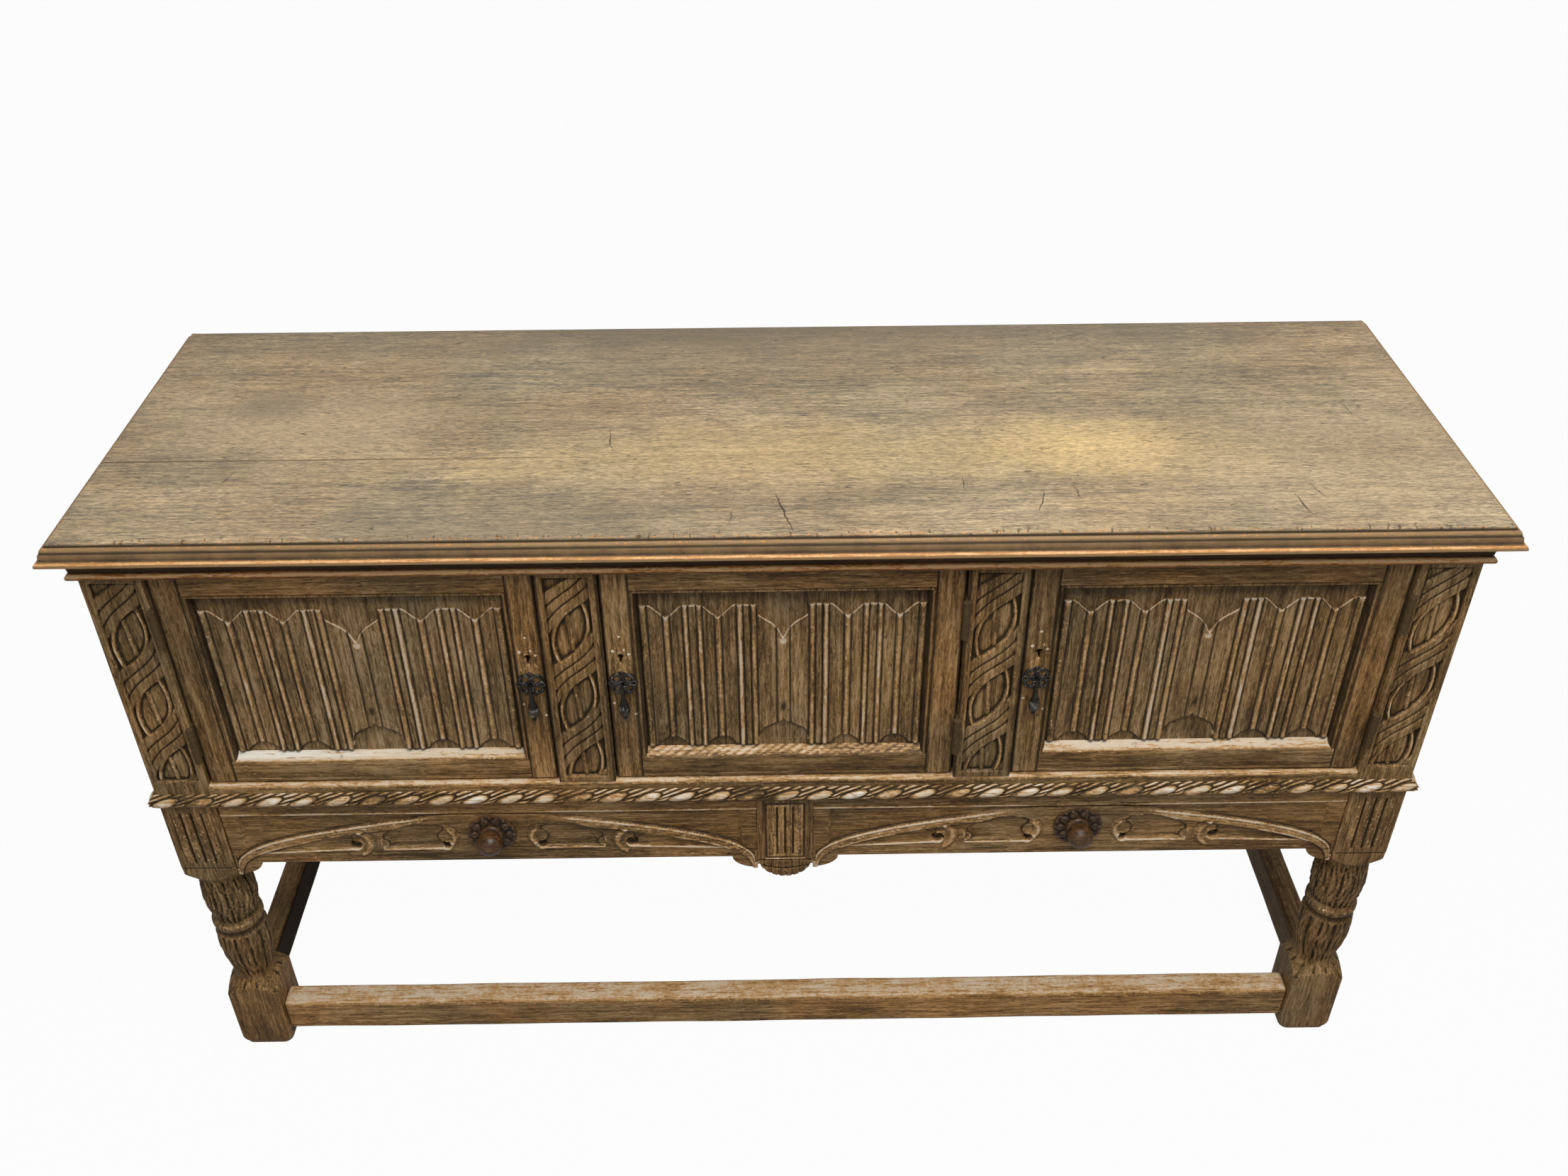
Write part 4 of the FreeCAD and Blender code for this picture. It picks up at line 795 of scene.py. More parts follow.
def stained_top(nodes, place, parts, tone, height):
    """The top's fine flecks, golden patch with a painted sheen, dark stains, joint, knocks and scratches."""
    paint = colours()
    dashes = nodes.grain(place, 110.0, 760.0, 2.0, 0.6, 0.5)
    waves = nodes.grain(place, 50.0, 260.0, 3.0, 0.65, 2.6)
    flecks = nodes.weighted((dashes, 0.55), (waves, 0.45))
    shade = nodes.between(flecks, 0.36, 0.64, 0.66, 1.34)
    tone = nodes.shaded(tone, shade)
    ragged = nodes.times(nodes.less(nodes.noise(place, 11.0, 5.0, 0.65), 0.5), 0.9)
    cloud = nodes.grain(place, 2.6, 9.0, 4.0, 0.6)
    tone = nodes.shaded(tone, nodes.between(cloud, 0.36, 0.64, 0.86, 1.12))

    def patch(x, y, half_x, half_y, strength):
        """A soft oval mask with a ragged rim."""
        across = nodes.math("DIVIDE", nodes.less(parts["X"], x), half_x)
        deep = nodes.math("DIVIDE", nodes.less(parts["Y"], y), half_y)
        span = nodes.math("SQRT", nodes.weighted((across, across), (deep, deep)))
        mask = nodes.between(nodes.plus(span, ragged), 1.0, 0.1)
        return nodes.times(mask, strength)

    golden, paled = nodes.shaded(paint.top_gold_sheen, shade), nodes.shaded(paint.top_light, shade)
    layers = ((GOLD_SHEEN_PATCHES, golden, 0.85), (PALE_PATCHES, paled, 0.85), (DARK_STAINS, paint.top_dark, 0.84))
    for ovals, layer, cover in layers:
        mask = nodes.most(*(patch(*oval) for oval in ovals))
        tone = nodes.blend(nodes.times(mask, cover), tone, layer)
    specks = nodes.between(nodes.grain(place, 75.0, 230.0, 2.0), 0.63, 0.69)
    specks = nodes.times(specks, nodes.between(ragged, -0.08, 0.15, 0.2, 0.85))
    tone = nodes.blend(specks, tone, darkened(paint.top_dark, 0.5))
    joint = nodes.math("ABSOLUTE", nodes.less(parts["Y"], TOP_JOINT))
    joint_shown = nodes.between(parts["X"], -0.1, -0.55, 0.08, 0.6)
    joint = nodes.times(nodes.between(joint, 0.0022, 0.0008), joint_shown)
    tone = nodes.blend(joint, tone, paint.oak_dark)
    ticks = nodes.between(nodes.grain(place, 190.0, 70.0, 2.0), 0.60, 0.66)
    ticks = nodes.times(ticks, nodes.between(parts["Y"], -0.236, -0.252))
    tone = nodes.blend(nodes.times(ticks, 0.7), tone, paint.oak_dark)
    tone = nodes.blend(nodes.between(parts["Z"], 0.9142, 0.9110), tone, paint.oak_light)
    cuts = nodes.most(*(
        nodes.group(scratch_group(), {
            "Vector": place, "Centre": centre, "Angle": math.radians(-angle),
            "Half Length": half_length, "Half Width": half_width,
        })["Mask"] for centre, angle, half_length, half_width in TOP_SCRATCHES
    ))
    tone = nodes.blend(nodes.times(cuts, 0.8), tone, paint.oak_grime)
    return tone, nodes.weighted((height, 0.5), (flecks, 0.5), (cuts, -1.2))


def iron(rusted=False):
    """Blackened or rusted iron, rubbed bright on its high places."""
    name = "iron_rusted" if rusted else "iron_blackened"
    if name in bpy.data.materials:
        return bpy.data.materials[name]
    paint = colours()
    material, nodes, shader = new_material(name)
    place = nodes.add("ShaderNodeTexCoord").outputs["Object"]
    marks = {"Vector": place, "Wear": nodes.attribute("wear"), "Grime": nodes.attribute("grime")}
    age = nodes.group(age_group(), marks)
    pitted = nodes.noise(place, 420.0, 4.0, 0.6)
    ground = paint.iron_rust if rusted else paint.iron
    tone = nodes.blend(nodes.between(pitted, 0.35, 0.7), darkened(ground, 0.6), ground)
    bright = 0.0 if rusted else nodes.times(age["Worn"], 0.7)
    tone = nodes.blend(bright, tone, paint.iron_bright)
    smoothest, roughest = (0.7, 0.8) if rusted else (0.22, 0.42)
    metal, gloss = (0.0, 0.1) if rusted else (0.25, 0.5)
    nodes.give(shader, {
        "Base Color": tone, "Roughness": nodes.between(pitted, 0.3, 0.75, smoothest, roughest),
        "Normal": nodes.bumped(pitted, 0.35, 0.0006), "Metallic": metal, "Specular IOR Level": gloss,
        "Specular Tint": (1.0, 0.90, 0.76, 1.0),
    })
    return material


# Pieces

def moulded_edge_profile():
    """Inset, height, rubbing and darkening of the top's moulded edge, from its lip to the flat of the top;
    the light lower lip is partly a painted highlight and the dark hollows partly painted shade.
    """
    return np.array([
        (0.0, 1.6, 0.0, 0.3), (0.0, 4.2, 0.2, 0.0), (0.7, 5.6, 0.85, 0.0), (2.2, 6.6, 0.8, 0.0),
        (4.2, 7.2, 0.3, 0.5), (5.0, 8.6, 0.0, 0.7), (5.4, 12.0, 0.0, 0.4), (6.0, 15.4, 0.05, 0.4),
        (7.4, 16.6, 0.0, 1.0), (7.7, 18.2, 0.1, 0.5), (8.4, 20.4, 0.25, 0.0), (10.2, 21.8, 0.3, 0.0),
        (12.0, 22.0, 0.1, 0.6), (13.2, 21.6, 0.0, 1.0), (13.6, 23.8, 0.1, 0.6), (14.6, 25.4, 0.45, 0.1),
        (17.0, 26.0, 0.25, 0.1), (24.0, 26.0, 0.0, 0.0),
    ])


def add_top_board(skin, low, high, front_moulded):
    """Adds one board of the top, moulded on its ends and, for the front one, along its front."""
    profile = moulded_edge_profile()
    inset, rise, rubbed, dirt_and_shade = profile.T
    steps = len(profile)
    x_flat = spaced(low[0] + inset[-1], high[0] - inset[-1], 14.0)[1:-1]
    x_place = np.concatenate([low[0] + inset, x_flat, (high[0] - inset)[::-1]])
    x_level = np.concatenate([np.arange(steps), np.full(len(x_flat), steps - 1), np.arange(steps)[::-1]])
    seam = np.array([0.0, 0.4, 1.2])
    y_start = low[1] + inset if front_moulded else low[1] + seam
    y_end = (high[1] - seam)[::-1]
    y_flat = spaced(y_start[-1], y_end[0], 14.0)[1:-1]
    y_place = np.concatenate([y_start, y_flat, y_end])
    y_level = np.full(len(y_place), steps - 1)
    if front_moulded:
        y_level[:steps] = np.arange(steps)
    level = np.minimum(x_level[None, :], y_level[:, None])
    z = low[2] + rise[level]
    seam_drop = np.zeros(len(y_place))
    seam_drop[-3:] = (0.0, 0.15, 0.7)
    if not front_moulded:
        seam_drop[:3] = (0.7, 0.15, 0.0)
    z = z - seam_drop[:, None] * (level == steps - 1)
    x, y = np.meshgrid(x_place, y_place)
    seam_dirt = 0.55 * (seam_drop > 0.5)
    if not front_moulded:
        seam_dirt[-3:] = 0.0
    grime = np.maximum(dirt_and_shade[level], seam_dirt[:, None])
    skin.grid(x, y, z, rubbed[level], grime)
    foot = np.full(z.shape, low[2])
    inner = 2.0
    x_under = np.clip(x, low[0] + inner, high[0] - inner)
    y_under = np.clip(y, low[1] + (inner if front_moulded else 0.0), high[1])
    # The underside is cut into triangles from its first point, half-way along the left end.
    rim = tuple(np.roll(grid_rim(*z.shape), len(z) // 2 - 1, axis=1))
    skin.grid(
        np.array([x[rim], x_under[rim]]), np.array([y[rim], y_under[rim]]), np.array([z[rim], foot[rim]]),
        wrap=True,
    )
    skin.face(np.stack([x_under[rim], y_under[rim], foot[rim]], -1))


class DRESSER_OT_top(bpy.types.Operator):
    """Make the two boards of the top, with their moulded edges"""

    bl_idname = "dresser.top"
    bl_label = "Top Boards"

    def execute(self, context):
        boards = (("top_front_board", True), ("top_back_board", False))
        for number, (node, front_moulded) in enumerate(boards):
            skin = Skin(board=0.3 + number)
            add_top_board(skin, *node_box(node), front_moulded)
            make_piece(node + "_planed", skin, "carcase", oak("across", "top"), [node], 0.5, 3 + number)
        return {"FINISHED"}


class DRESSER_OT_cornice(bpy.types.Operator):
    """Make the moulding under the top"""

    bl_idname = "dresser.cornice"
    bl_label = "Cornice Moulding"

    def execute(self, context):
        low, high = node_box("cornice_moulding")
        post_low, _ = node_box("post_front_left")
        _, post_high = node_box("post_front_right")
        tall = high[2] - low[2]
        reach = post_low[1] - low[1]
        let_in = -2.0
        bead = 4.6
        hollow_tall = tall - 2 * bead - 7.0
        section = [(let_in, 0.0)]
        for angle in np.linspace(-math.pi / 2, math.pi / 2, 9):
            section.append((4.5 + bead * math.cos(angle), bead + bead * math.sin(angle)))
        section += [(4.0, 2 * bead + 0.6), (4.0, 2 * bead + 2.2)]
        for angle in np.linspace(0, math.pi / 2, 7):
            section.append((
                5.0 + (reach - 7.0) * (1 - math.cos(angle)), 2 * bead + 2.5 + hollow_tall * math.sin(angle),
            ))
        section += [(reach - 0.6, tall - 4.2), (reach, tall - 3.2), (reach, tall), (let_in, tall)]
        # The bead's front and upper side are light, partly rubbing and partly a painted highlight; the hollow
        # and the face above the bead get painted shade under the top.
        wear = np.zeros(len(section))
        wear[5:9] = (0.6, 1.1, 1.3, 0.9)
        grime = np.full(len(section), 0.45)
        grime[:10] = 0.0
        grime[10:14] = (0.9, 1.0, 0.9, 0.7)
        corners = [
            (post_low[0], high[1], low[2]), (post_low[0], post_low[1], low[2]),
            (post_high[0], post_low[1], low[2]), (post_high[0], high[1], low[2]),
        ]
        skin = Skin(board=2.2)
        add_sweep(skin, section, corners, [(-1, 0, 0), (0, -1, 0), (1, 0, 0)], wear=wear, grime=grime)
        make_piece("cornice_moulded", skin, "carcase", oak("across", "cornice"), ["cornice_moulding"], seed=8)
        return {"FINISHED"}


# Levels of the guilloche on the posts and muntins, and of the reeds on the posts.
GUILLOCHE_FIELD = (536.0, 849.0)
POST_REEDS = (384.0, 480.0)
# Bands of a turned leg: the levels where each starts, is whole, is whole for the last time and ends.
LEG_SPUR = (110.0, 114.0, 128.0, 138.0)
LEG_CUP = (138.0, 150.0, 226.0, 231.0)
LEG_GROOVE = (231.0, 234.0, 240.0, 243.0)
LEG_RING = (248.0, 251.0, 254.0, 256.0)
LEG_COVER = (256.5, 262.0, 336.0, 345.0)


def guilloche(x, z, low, high, half):
    """Height of the guilloche in a sunk field: eyes with a rib, and bundles of three ribbons between."""
    pitch = sizes().guilloche_pitch / MM
    depth = sizes().guilloche_depth / MM
    first_bundle, first_eye = high - 27.0, high - 82.0
    ribbon_gap, ribbon_half = 12.2, 6.3
    eye_wide, eye_long = 17.0, 46.0
    tilt = math.radians(20.0)
    inside = (np.abs(x) < half) & (z > low) & (z < high)
    height = np.full(np.broadcast(x, z).shape, -depth)
    share = x / half
    rise = 22.0 * share + 6.0 * share ** 3
    slope = (22.0 + 18.0 * share ** 2) / half
    sunk = np.full(height.shape, False)
    floor = np.full(height.shape, -depth)
    for number in range(4):
        normal = (z - first_bundle + number * pitch - rise) / np.sqrt(1 + slope ** 2)
        for offset in (-ribbon_gap, 0.0, ribbon_gap):
            flat = np.clip(np.abs(normal - offset) / ribbon_half, 0, 1) ** 5
            height = np.maximum(height, -0.3 - (depth - 0.3) * flat)
        along_z = z - first_eye + number * pitch
        along = x * math.sin(tilt) + along_z * math.cos(tilt)
        across = x * math.cos(tilt) - along_z * math.sin(tilt)
        edge = np.abs(across) - eye_wide * (1 - (along / eye_long) ** 2)
        edge = np.where(np.abs(along) > eye_long + 4.0, 99.0, edge)
        height = np.maximum(height, -depth * np.clip(np.abs(edge - 2.2) / 2.6, 0, 1) ** 4)
        rib = bump(x + 0.06 * along_z + 1.0, 2.8) * smooth_step(34.0, 22.0, np.abs(along_z))
        floor = np.where(edge < 0, -depth - 0.5 + (depth - 1.0) * rib - 0.9 * np.exp(edge / 2.5), floor)
        sunk = sunk | (edge < -0.3)
    height = np.where(sunk, floor, height)
    border = least(half - np.abs(x), z - low, high - z)
    height = height * smooth_step(0.0, 1.6, border) - 1.2 * bump(border - 1.6, 1.4)
    return np.where(inside, height, 0.0)


def reeds(x, z, low, high, half):
    """Height of upright reeds in a sunk field with rounded ends."""
    depth = sizes().reed_depth / MM
    count = sizes().reed_count
    share = (x + half) / (2 * half) * count
    near = np.abs(share - np.round(share))
    groove = soft_line(near, 0.095) * depth
    border = least(half + 0.5 - np.abs(x), (z - low) / 1.5, (high - z) / 1.5)
    return -groove * smooth_step(0.0, 2.5, border)


def post_rows(low_z, field, flutes):
    """Levels of the points up a front post: close together where it is turned or carved."""
    parts = [
        np.array([0.0, 0.8, 2.0, 4.0, 7.0, 11.0]), spaced(16.0, 104.0, 11.0), spaced(106.0, 138.0, 1.6),
        spaced(140.0, 345.0, 1.7), spaced(346.5, 372.0, 1.6), spaced(374.0, flutes[0] - 1.0, 2.0),
        spaced(flutes[0], flutes[1], 2.2), spaced(flutes[1] + 3.0, field[0] - 4.0, 6.0),
        spaced(field[0] - 1.0, field[1] + 1.0, 1.25), spaced(field[1] + 4.0, 887.0, 6.0), np.array([889.0]),
    ]
    return low_z + np.unique(np.concatenate(parts))


def turned_radius(z):
    """Radius of the turned cup-and-cover leg at each level; wide where the post stays square."""
    free = 80.0
    cover_share = np.linspace(-1, 1, 15)
    cover = [(300.5 + 44.5 * share, 30.5 + 5.2 * (1 - share ** 2)) for share in cover_share]
    levels = [
        (0.0, free), (106.0, free), (107.5, 55.0), (110.0, 52.0), (128.0, 33.5), (133.0, 29.0), (137.0, 27.2),
        (142.0, 27.0), (150.0, 28.0), (162.0, 30.3), (176.0, 33.0), (190.0, 35.0), (204.0, 35.8),
        (216.0, 35.6), (226.0, 34.9), (230.0, 34.2), (232.0, 32.6), (234.5, 31.0), (240.0, 30.6),
        (242.0, 31.2), (243.5, 33.6), (246.0, 35.0), (252.0, 35.0), (254.5, 33.6), (255.6, 31.4), *cover,
        (347.0, 31.4), (352.0, 36.0), (369.0, 54.0), (370.5, free), (1000.0, free),
    ]
    return np.interp(z, *np.array(levels).T)


def leaf_carving(angle, z):
    """Height of the leaves carved on the cover and the cup of a leg."""
    count = sizes().leaf_count
    place = angle * count / (2 * math.pi)
    leaf = place - np.round(place)
    edge = np.abs(leaf)
    cover = smooth_band(z, *LEG_COVER)
    veins = 0.35 * np.sin(2 * math.pi * (z / 8.5 + edge * 2.6)) * smooth_step(0.06, 0.16, edge)
    bark = 0.75 * np.sin(27 * angle + 3.0 * np.sin(z / 13.0)) + 0.2 * np.sin(z / 4.3 + 9 * angle)
    cut = -2.5 * soft_line(0.5 - edge, 0.085) + 0.5 * soft_line(edge, 0.07)
    tips = -1.9 * smooth_step(285.0, 262.0, z + 46.0 * edge)
    carved = cover * (cut + veins + 1.2 * bark + tips - 0.6)
    cup = smooth_band(z, *LEG_CUP)
    lobe_edge = np.abs(place + 0.5 - np.round(place + 0.5))
    lobes = -2.3 * soft_line(0.5 - lobe_edge, 0.11) - 0.7 * soft_line(lobe_edge, 0.05)
    carved = carved + cup * (lobes + 0.9 * bark)
    spur = smooth_band(z, *LEG_SPUR)
    return carved - spur * 1.6 * soft_line(0.5 - edge, 0.12)


def add_front_post(skin, low, high):
    """Adds a front post: square and carved above, turned and carved below, on a square foot."""
    half = (high[0] - low[0]) / 2
    centre = (low[:2] + high[:2]) / 2
    round_edge = sizes().edge_round / MM
    reeds_half = 27.0
    front = edge_lines(-half, half, round_edge, 0.95)[:-1]
    side = edge_lines(-half, half, round_edge, 2.4)[:-1]
    across = np.concatenate([front, np.full(len(side), half), -side, np.full(len(side), -half)])
    deep = np.concatenate([np.full(len(front), -half), side, np.full(len(side), half), -side])
    z = post_rows(low[2], GUILLOCHE_FIELD, POST_REEDS)[:, None]
    corner = round_edge + 9.0 * smooth_step(16.0, 0.0, z) + 2.0 * smooth_step(380.0, 369.0, z)
    core_x = np.clip(across, -half + corner, half - corner)
    core_y = np.clip(deep, -half + corner, half - corner)
    away_x, away_y = across - core_x, deep - core_y
    reach = np.maximum(np.hypot(away_x, away_y), 1e-9)
    x = core_x + away_x / reach * corner
    y = core_y + away_y / reach * corner
    radius = np.hypot(x, y)
    angle = np.arctan2(y, x)
    turned = np.broadcast_to(turned_radius(z), radius.shape)
    is_turned = turned < radius
    leaves = leaf_carving(angle, z)
    scale = np.where(is_turned, np.minimum((turned + leaves) / radius, 1.0), 1.0)
    foot_draw = 1 - 0.05 * smooth_step(9.0, 0.0, z)
    x, y = x * scale * foot_draw, y * scale * foot_draw
    on_front = np.broadcast_to(np.arange(len(across)) < len(front), x.shape)
    reed_cuts = reeds(x, z, *POST_REEDS, reeds_half)
    carved = guilloche(x, z, *GUILLOCHE_FIELD, half - 9.0) + reed_cuts
    carved = carved - 1.3 * bump(z - 377.0, 1.4) * (np.abs(x) < 31.0)
    carved = np.where(on_front, carved, 0.0)
    y = y - carved
    wear, grime = relief_marks(np.where(is_turned, leaves, carved), 3, 3.0, 1.3)
    in_reeds = (z > POST_REEDS[0]) & (z < POST_REEDS[1]) & (np.abs(x) < reeds_half) & on_front
    reeded = -reed_cuts / (sizes().reed_depth / MM)
    wear = np.maximum(wear, in_reeds * (0.44 - 0.9 * reeded))
    grime = np.maximum(grime, in_reeds * np.clip(1.3 * reeded, 0, 1))
    second = np.maximum(half - np.abs(across), half - np.abs(deep)) + 0 * z
    edge = np.where(is_turned, 99.0, second)
    wear = np.maximum(wear, 0.45 * np.clip(1.1 - edge / (1.6 * round_edge), 0, 1))
    wear = np.maximum(wear, 0.42 * smooth_band(z, *LEG_RING))
    grime = np.maximum(grime, 0.45 * smooth_band(z, *LEG_GROOVE))
    grime = np.where(is_turned, grime + 0.12, grime)
    skin.grid(centre[0] + x, centre[1] + y, z + 0 * x, wear, grime, wrap=True)
    for end in (0, -1):
        skin.face(np.stack([centre[0] + x[end], centre[1] + y[end], z[end] + 0 * x[end]], -1))


class DRESSER_OT_posts(bpy.types.Operator):
    """Make the carved and turned front posts and the plain back posts"""

    bl_idname = "dresser.posts"
    bl_label = "Posts and Legs"

    def execute(self, context):
        for number, end in enumerate(ENDS):
            node = f"post_front_{end}"
            skin = Skin(board=4.1 + 1.7 * number)
            add_front_post(skin, *node_box(node))
            make_piece(node + "_carved", skin, "carcase", oak("upright"), [node], seed=11 + number)
            node = f"post_back_{end}"
            skin = Skin(board=7.3 + 1.9 * number)
            add_block(skin, *node_box(node), 2.0)
            make_piece(node + "_squared", skin, "carcase", oak("upright"), [node], seed=15 + number)
        return {"FINISHED"}


def add_carved_front(
    skin, x, z, height, face, back, cells=4, round_edge=1.5, wear=0.0, hollow=1.5, grime=0.0
):
    """Adds a slab whose front at `face` has a carved height; its rim is rounded and rubbed."""
    edge = least(x - x.min(), x.max() - x, z - z[0], z[-1] - z)
    rubbed, dirt_and_shade = relief_marks(height, cells, 3.6, hollow)
    rubbed = np.maximum(rubbed, 0.5 * edge_rub(edge, round_edge))
    y = face - height + edge_roll(edge, round_edge)
    add_slab(skin, x, z, y, back, np.clip(rubbed + wear, 0, 1), np.maximum(dirt_and_shade, grime))


class DRESSER_OT_muntins(bpy.types.Operator):
    """Make the two carved pilasters between the doors"""

    bl_idname = "dresser.muntins"
    bl_label = "Muntins"

    def execute(self, context):
        field_half, play, mortice = 27.0, 0.3, 8.3
        field_foot, field_head = GUILLOCHE_FIELD
        bolt_low, bolt_high = node_box("door_left_lock_bolt")
        front, back = bolt_low[1] - play, bolt_high[1] + play
        bolt_levels = (bolt_low[2] - play, bolt_high[2] + play)
        for number, end in enumerate(ENDS):
            node = f"muntin_{end}"
            low, high = node_box(node)
            middle = (low[0] + high[0]) / 2
            lines = edge_lines(low[0], high[0], 1.5, 0.95)
            levels = np.concatenate([
                edge_lines(low[2], field_foot - 2.0, 1.2, 2.0)[:-1],
                spaced(field_foot - 2.0, field_head + 2.0, 1.25), [field_head + 5.0, high[2]],
            ])
            x, z = np.meshgrid(lines, levels)
            height = guilloche(x - middle, z, field_foot, field_head, field_half)
            shaded = 0.9 * soft_line(high[0] - middle - np.abs(x - middle), 3.0)
            skin = Skin(board=9.7 + 2.3 * number)
            add_carved_front(skin, x, z, height, low[1], front, grime=shaded)
            solid_x = (low[0] + mortice * (end == "left"), high[0] - mortice)
            add_layer(skin, (low[0], front, low[2]), (high[0], back, high[2]), solid_x, bolt_levels)
            add_plain_block(skin, (low[0], back, low[2]), high)
            make_piece(node + "_carved", skin, "carcase", oak("upright"), [node], seed=21 + number)
        return {"FINISHED"}


class DRESSER_OT_rails(bpy.types.Operator):
    """Make the front's bottom rail, and the rails and panels of the two sides"""

    bl_idname = "dresser.rails"
    bl_label = "Rails and Side Panels"

    def execute(self, context):
        low, high = node_box("bottom_rail")
        nosing = 6.0
        back, tall = low[1] - high[1], high[2] - low[2]
        section = [(0.0, 0.0)]
        for angle in np.linspace(0, math.pi / 2, 6):
            section.append((-nosing * (1 - math.cos(angle)), tall - nosing + nosing * math.sin(angle)))
        section += [(back, tall), (back, 0.0)]
        wear = np.array([0.0, 0.3, 0.5, 0.7, 0.8, 0.8, 0.7, 0.2, 0.0])
        skin = Skin(board=12.4)
        add_sweep(skin, section, [low, (high[0], low[1], low[2])], [(0, -1, 0)], wear=wear)
        make_piece("bottom_rail_nosed", skin, "carcase", oak("across"), ["bottom_rail"], seed=31)
        low, high = node_box("side_rails")
        thick, lower_head, upper_foot = 24.0, 549.0, 829.0
        skin = Skin(board=13.9)
        for side in (-1, 1):
            near, far = sorted((side * (high[0] - thick), side * high[0]))
            for foot, head in ((low[2], lower_head), (upper_foot, high[2])):
                skin.board += 1.3
                add_block(skin, (near, low[1], foot), (far, high[1], head), 1.8)
        make_piece("side_rails_planed", skin, "carcase", oak("deep"), ["side_rails"], seed=33)
        for number, end in enumerate(ENDS):
            node = f"side_panel_{end}"
            skin = Skin(board=18.2 + number)
            add_block(skin, *node_box(node), 1.0, 12.0, wear=0.0)
            make_piece(node + "_planed", skin, "carcase", oak("upright"), [node], 1.5, 35 + number)
        return {"FINISHED"}


def rope_length_mesh(pitch, radius):
    """One pitch of the rope moulding along X: an almond lobe among thin strands, all leaning."""
    swing = math.radians(112.0)
    angle = np.linspace(-swing, swing, 31)[:, None]
    along = np.linspace(0.0, pitch, 45)[None, :]
    tilt = math.radians(25.0)
    lobe_long, lobe_wide = 20.5, 8.0
    offset, around = along - pitch / 2, radius * angle
    length_way = offset * math.cos(tilt) + around * math.sin(tilt)
    side_way = around * math.cos(tilt) - offset * math.sin(tilt)
    inside = (length_way / lobe_long) ** 2 + (side_way / lobe_wide) ** 2
    lobe = np.sqrt(np.maximum(1 - inside, 0.0))
    strand_pitch = pitch * math.sin(tilt) / 3
    strands = (0.5 + 0.5 * np.cos(2 * math.pi * side_way / strand_pitch)) * smooth_step(1.0, 1.5, inside)
    rise = np.maximum(lobe, 0.66 * strands)
    reach = radius - 4.2 * (1 - rise) * (0.45 + 0.55 * np.cos(np.clip(angle, -1.5, 1.5)))
    # The upper half of the rope is lighter as a painted highlight; the lobes' lightness is rubbing.
    lit = 0.80 + 0.20 * np.sin(angle)
    wear = np.clip(np.maximum(1.6 * lobe - 0.05, 1.1 * strands), 0, 1.3) * lit
    grime = np.clip(1.0 - 2.2 * rise, 0, 1)
    skin = Skin(board=22.0)
    skin.grid(along + 0 * angle, -reach * np.cos(angle), reach * np.sin(angle), wear, grime)
    return skin.mesh("rope_length")


class DRESSER_OT_rope(bpy.types.Operator):
    """Make the carved rope moulding along the front and sides"""

    bl_idname = "dresser.rope"
    bl_label = "Rope Moulding"

    def execute(self, context):
        low, high = node_box("rope_moulding")
        post_low, _ = node_box("post_front_left")
        _, post_high = node_box("post_front_right")
        radius = (high[2] - low[2]) / 2
        centre = (low[2] + high[2]) / 2
        inset = radius - (post_low[1] - low[1])
        material = oak("across")
        pitch = sizes().rope_pitch / MM
        runs = (
            ((low[0], post_low[1]), 0.0, high[0] - low[0]),
            ((post_high[0], low[1]), 90.0, high[1] - low[1]),
            ((post_low[0], high[1]), -90.0, high[1] - low[1]),
        )
        skin = Skin(board=22.0)
        for number, ((x, y), heading, run) in enumerate(runs):
            count = int(round(run / pitch))
            fitted = run / count
            shape = rope_length_mesh(fitted, radius)
            mesh = made_copies(f"rope_run_{number}", shape, count, fitted, material, False)
            mesh.transform(Matrix.Translation((0.0, inset * MM, 0.0)))
            mesh.transform(Matrix.Rotation(math.radians(heading), 4, "Z"))
            mesh.transform(Matrix.Translation((x * MM, y * MM, centre * MM)))
            points = mesh_points(mesh)
            reach_front = post_low[1] - points[:, 1]
            if number == 0:
                points[:, 0] = np.clip(points[:, 0], post_low[0] - reach_front, post_high[0] + reach_front)
            else:
                reach_side = np.abs(points[:, 0]) - post_high[0]
                points[:, 1] = np.maximum(points[:, 1], post_low[1] - reach_side)
            worked = wavered(points, 81 + number, 1.5, 24.0)
            mesh.vertices.foreach_set("co", (worked * MM).ravel())
            along = points[:, 0] + points[:, 1]
            rubbed = mesh_marks(mesh, "wear")
            rubbed *= 0.85 + 0.22 * np.sin(along / 37.0) + 0.20 * np.sin(along / 13.0 + 1.0)
            mesh.attributes["wear"].data.foreach_set("value", rubbed)
            skin.take(mesh)
        make_piece("rope_moulding_carved", skin, "carcase", material, ["rope_moulding"], waver=0.0)
        return {"FINISHED"}


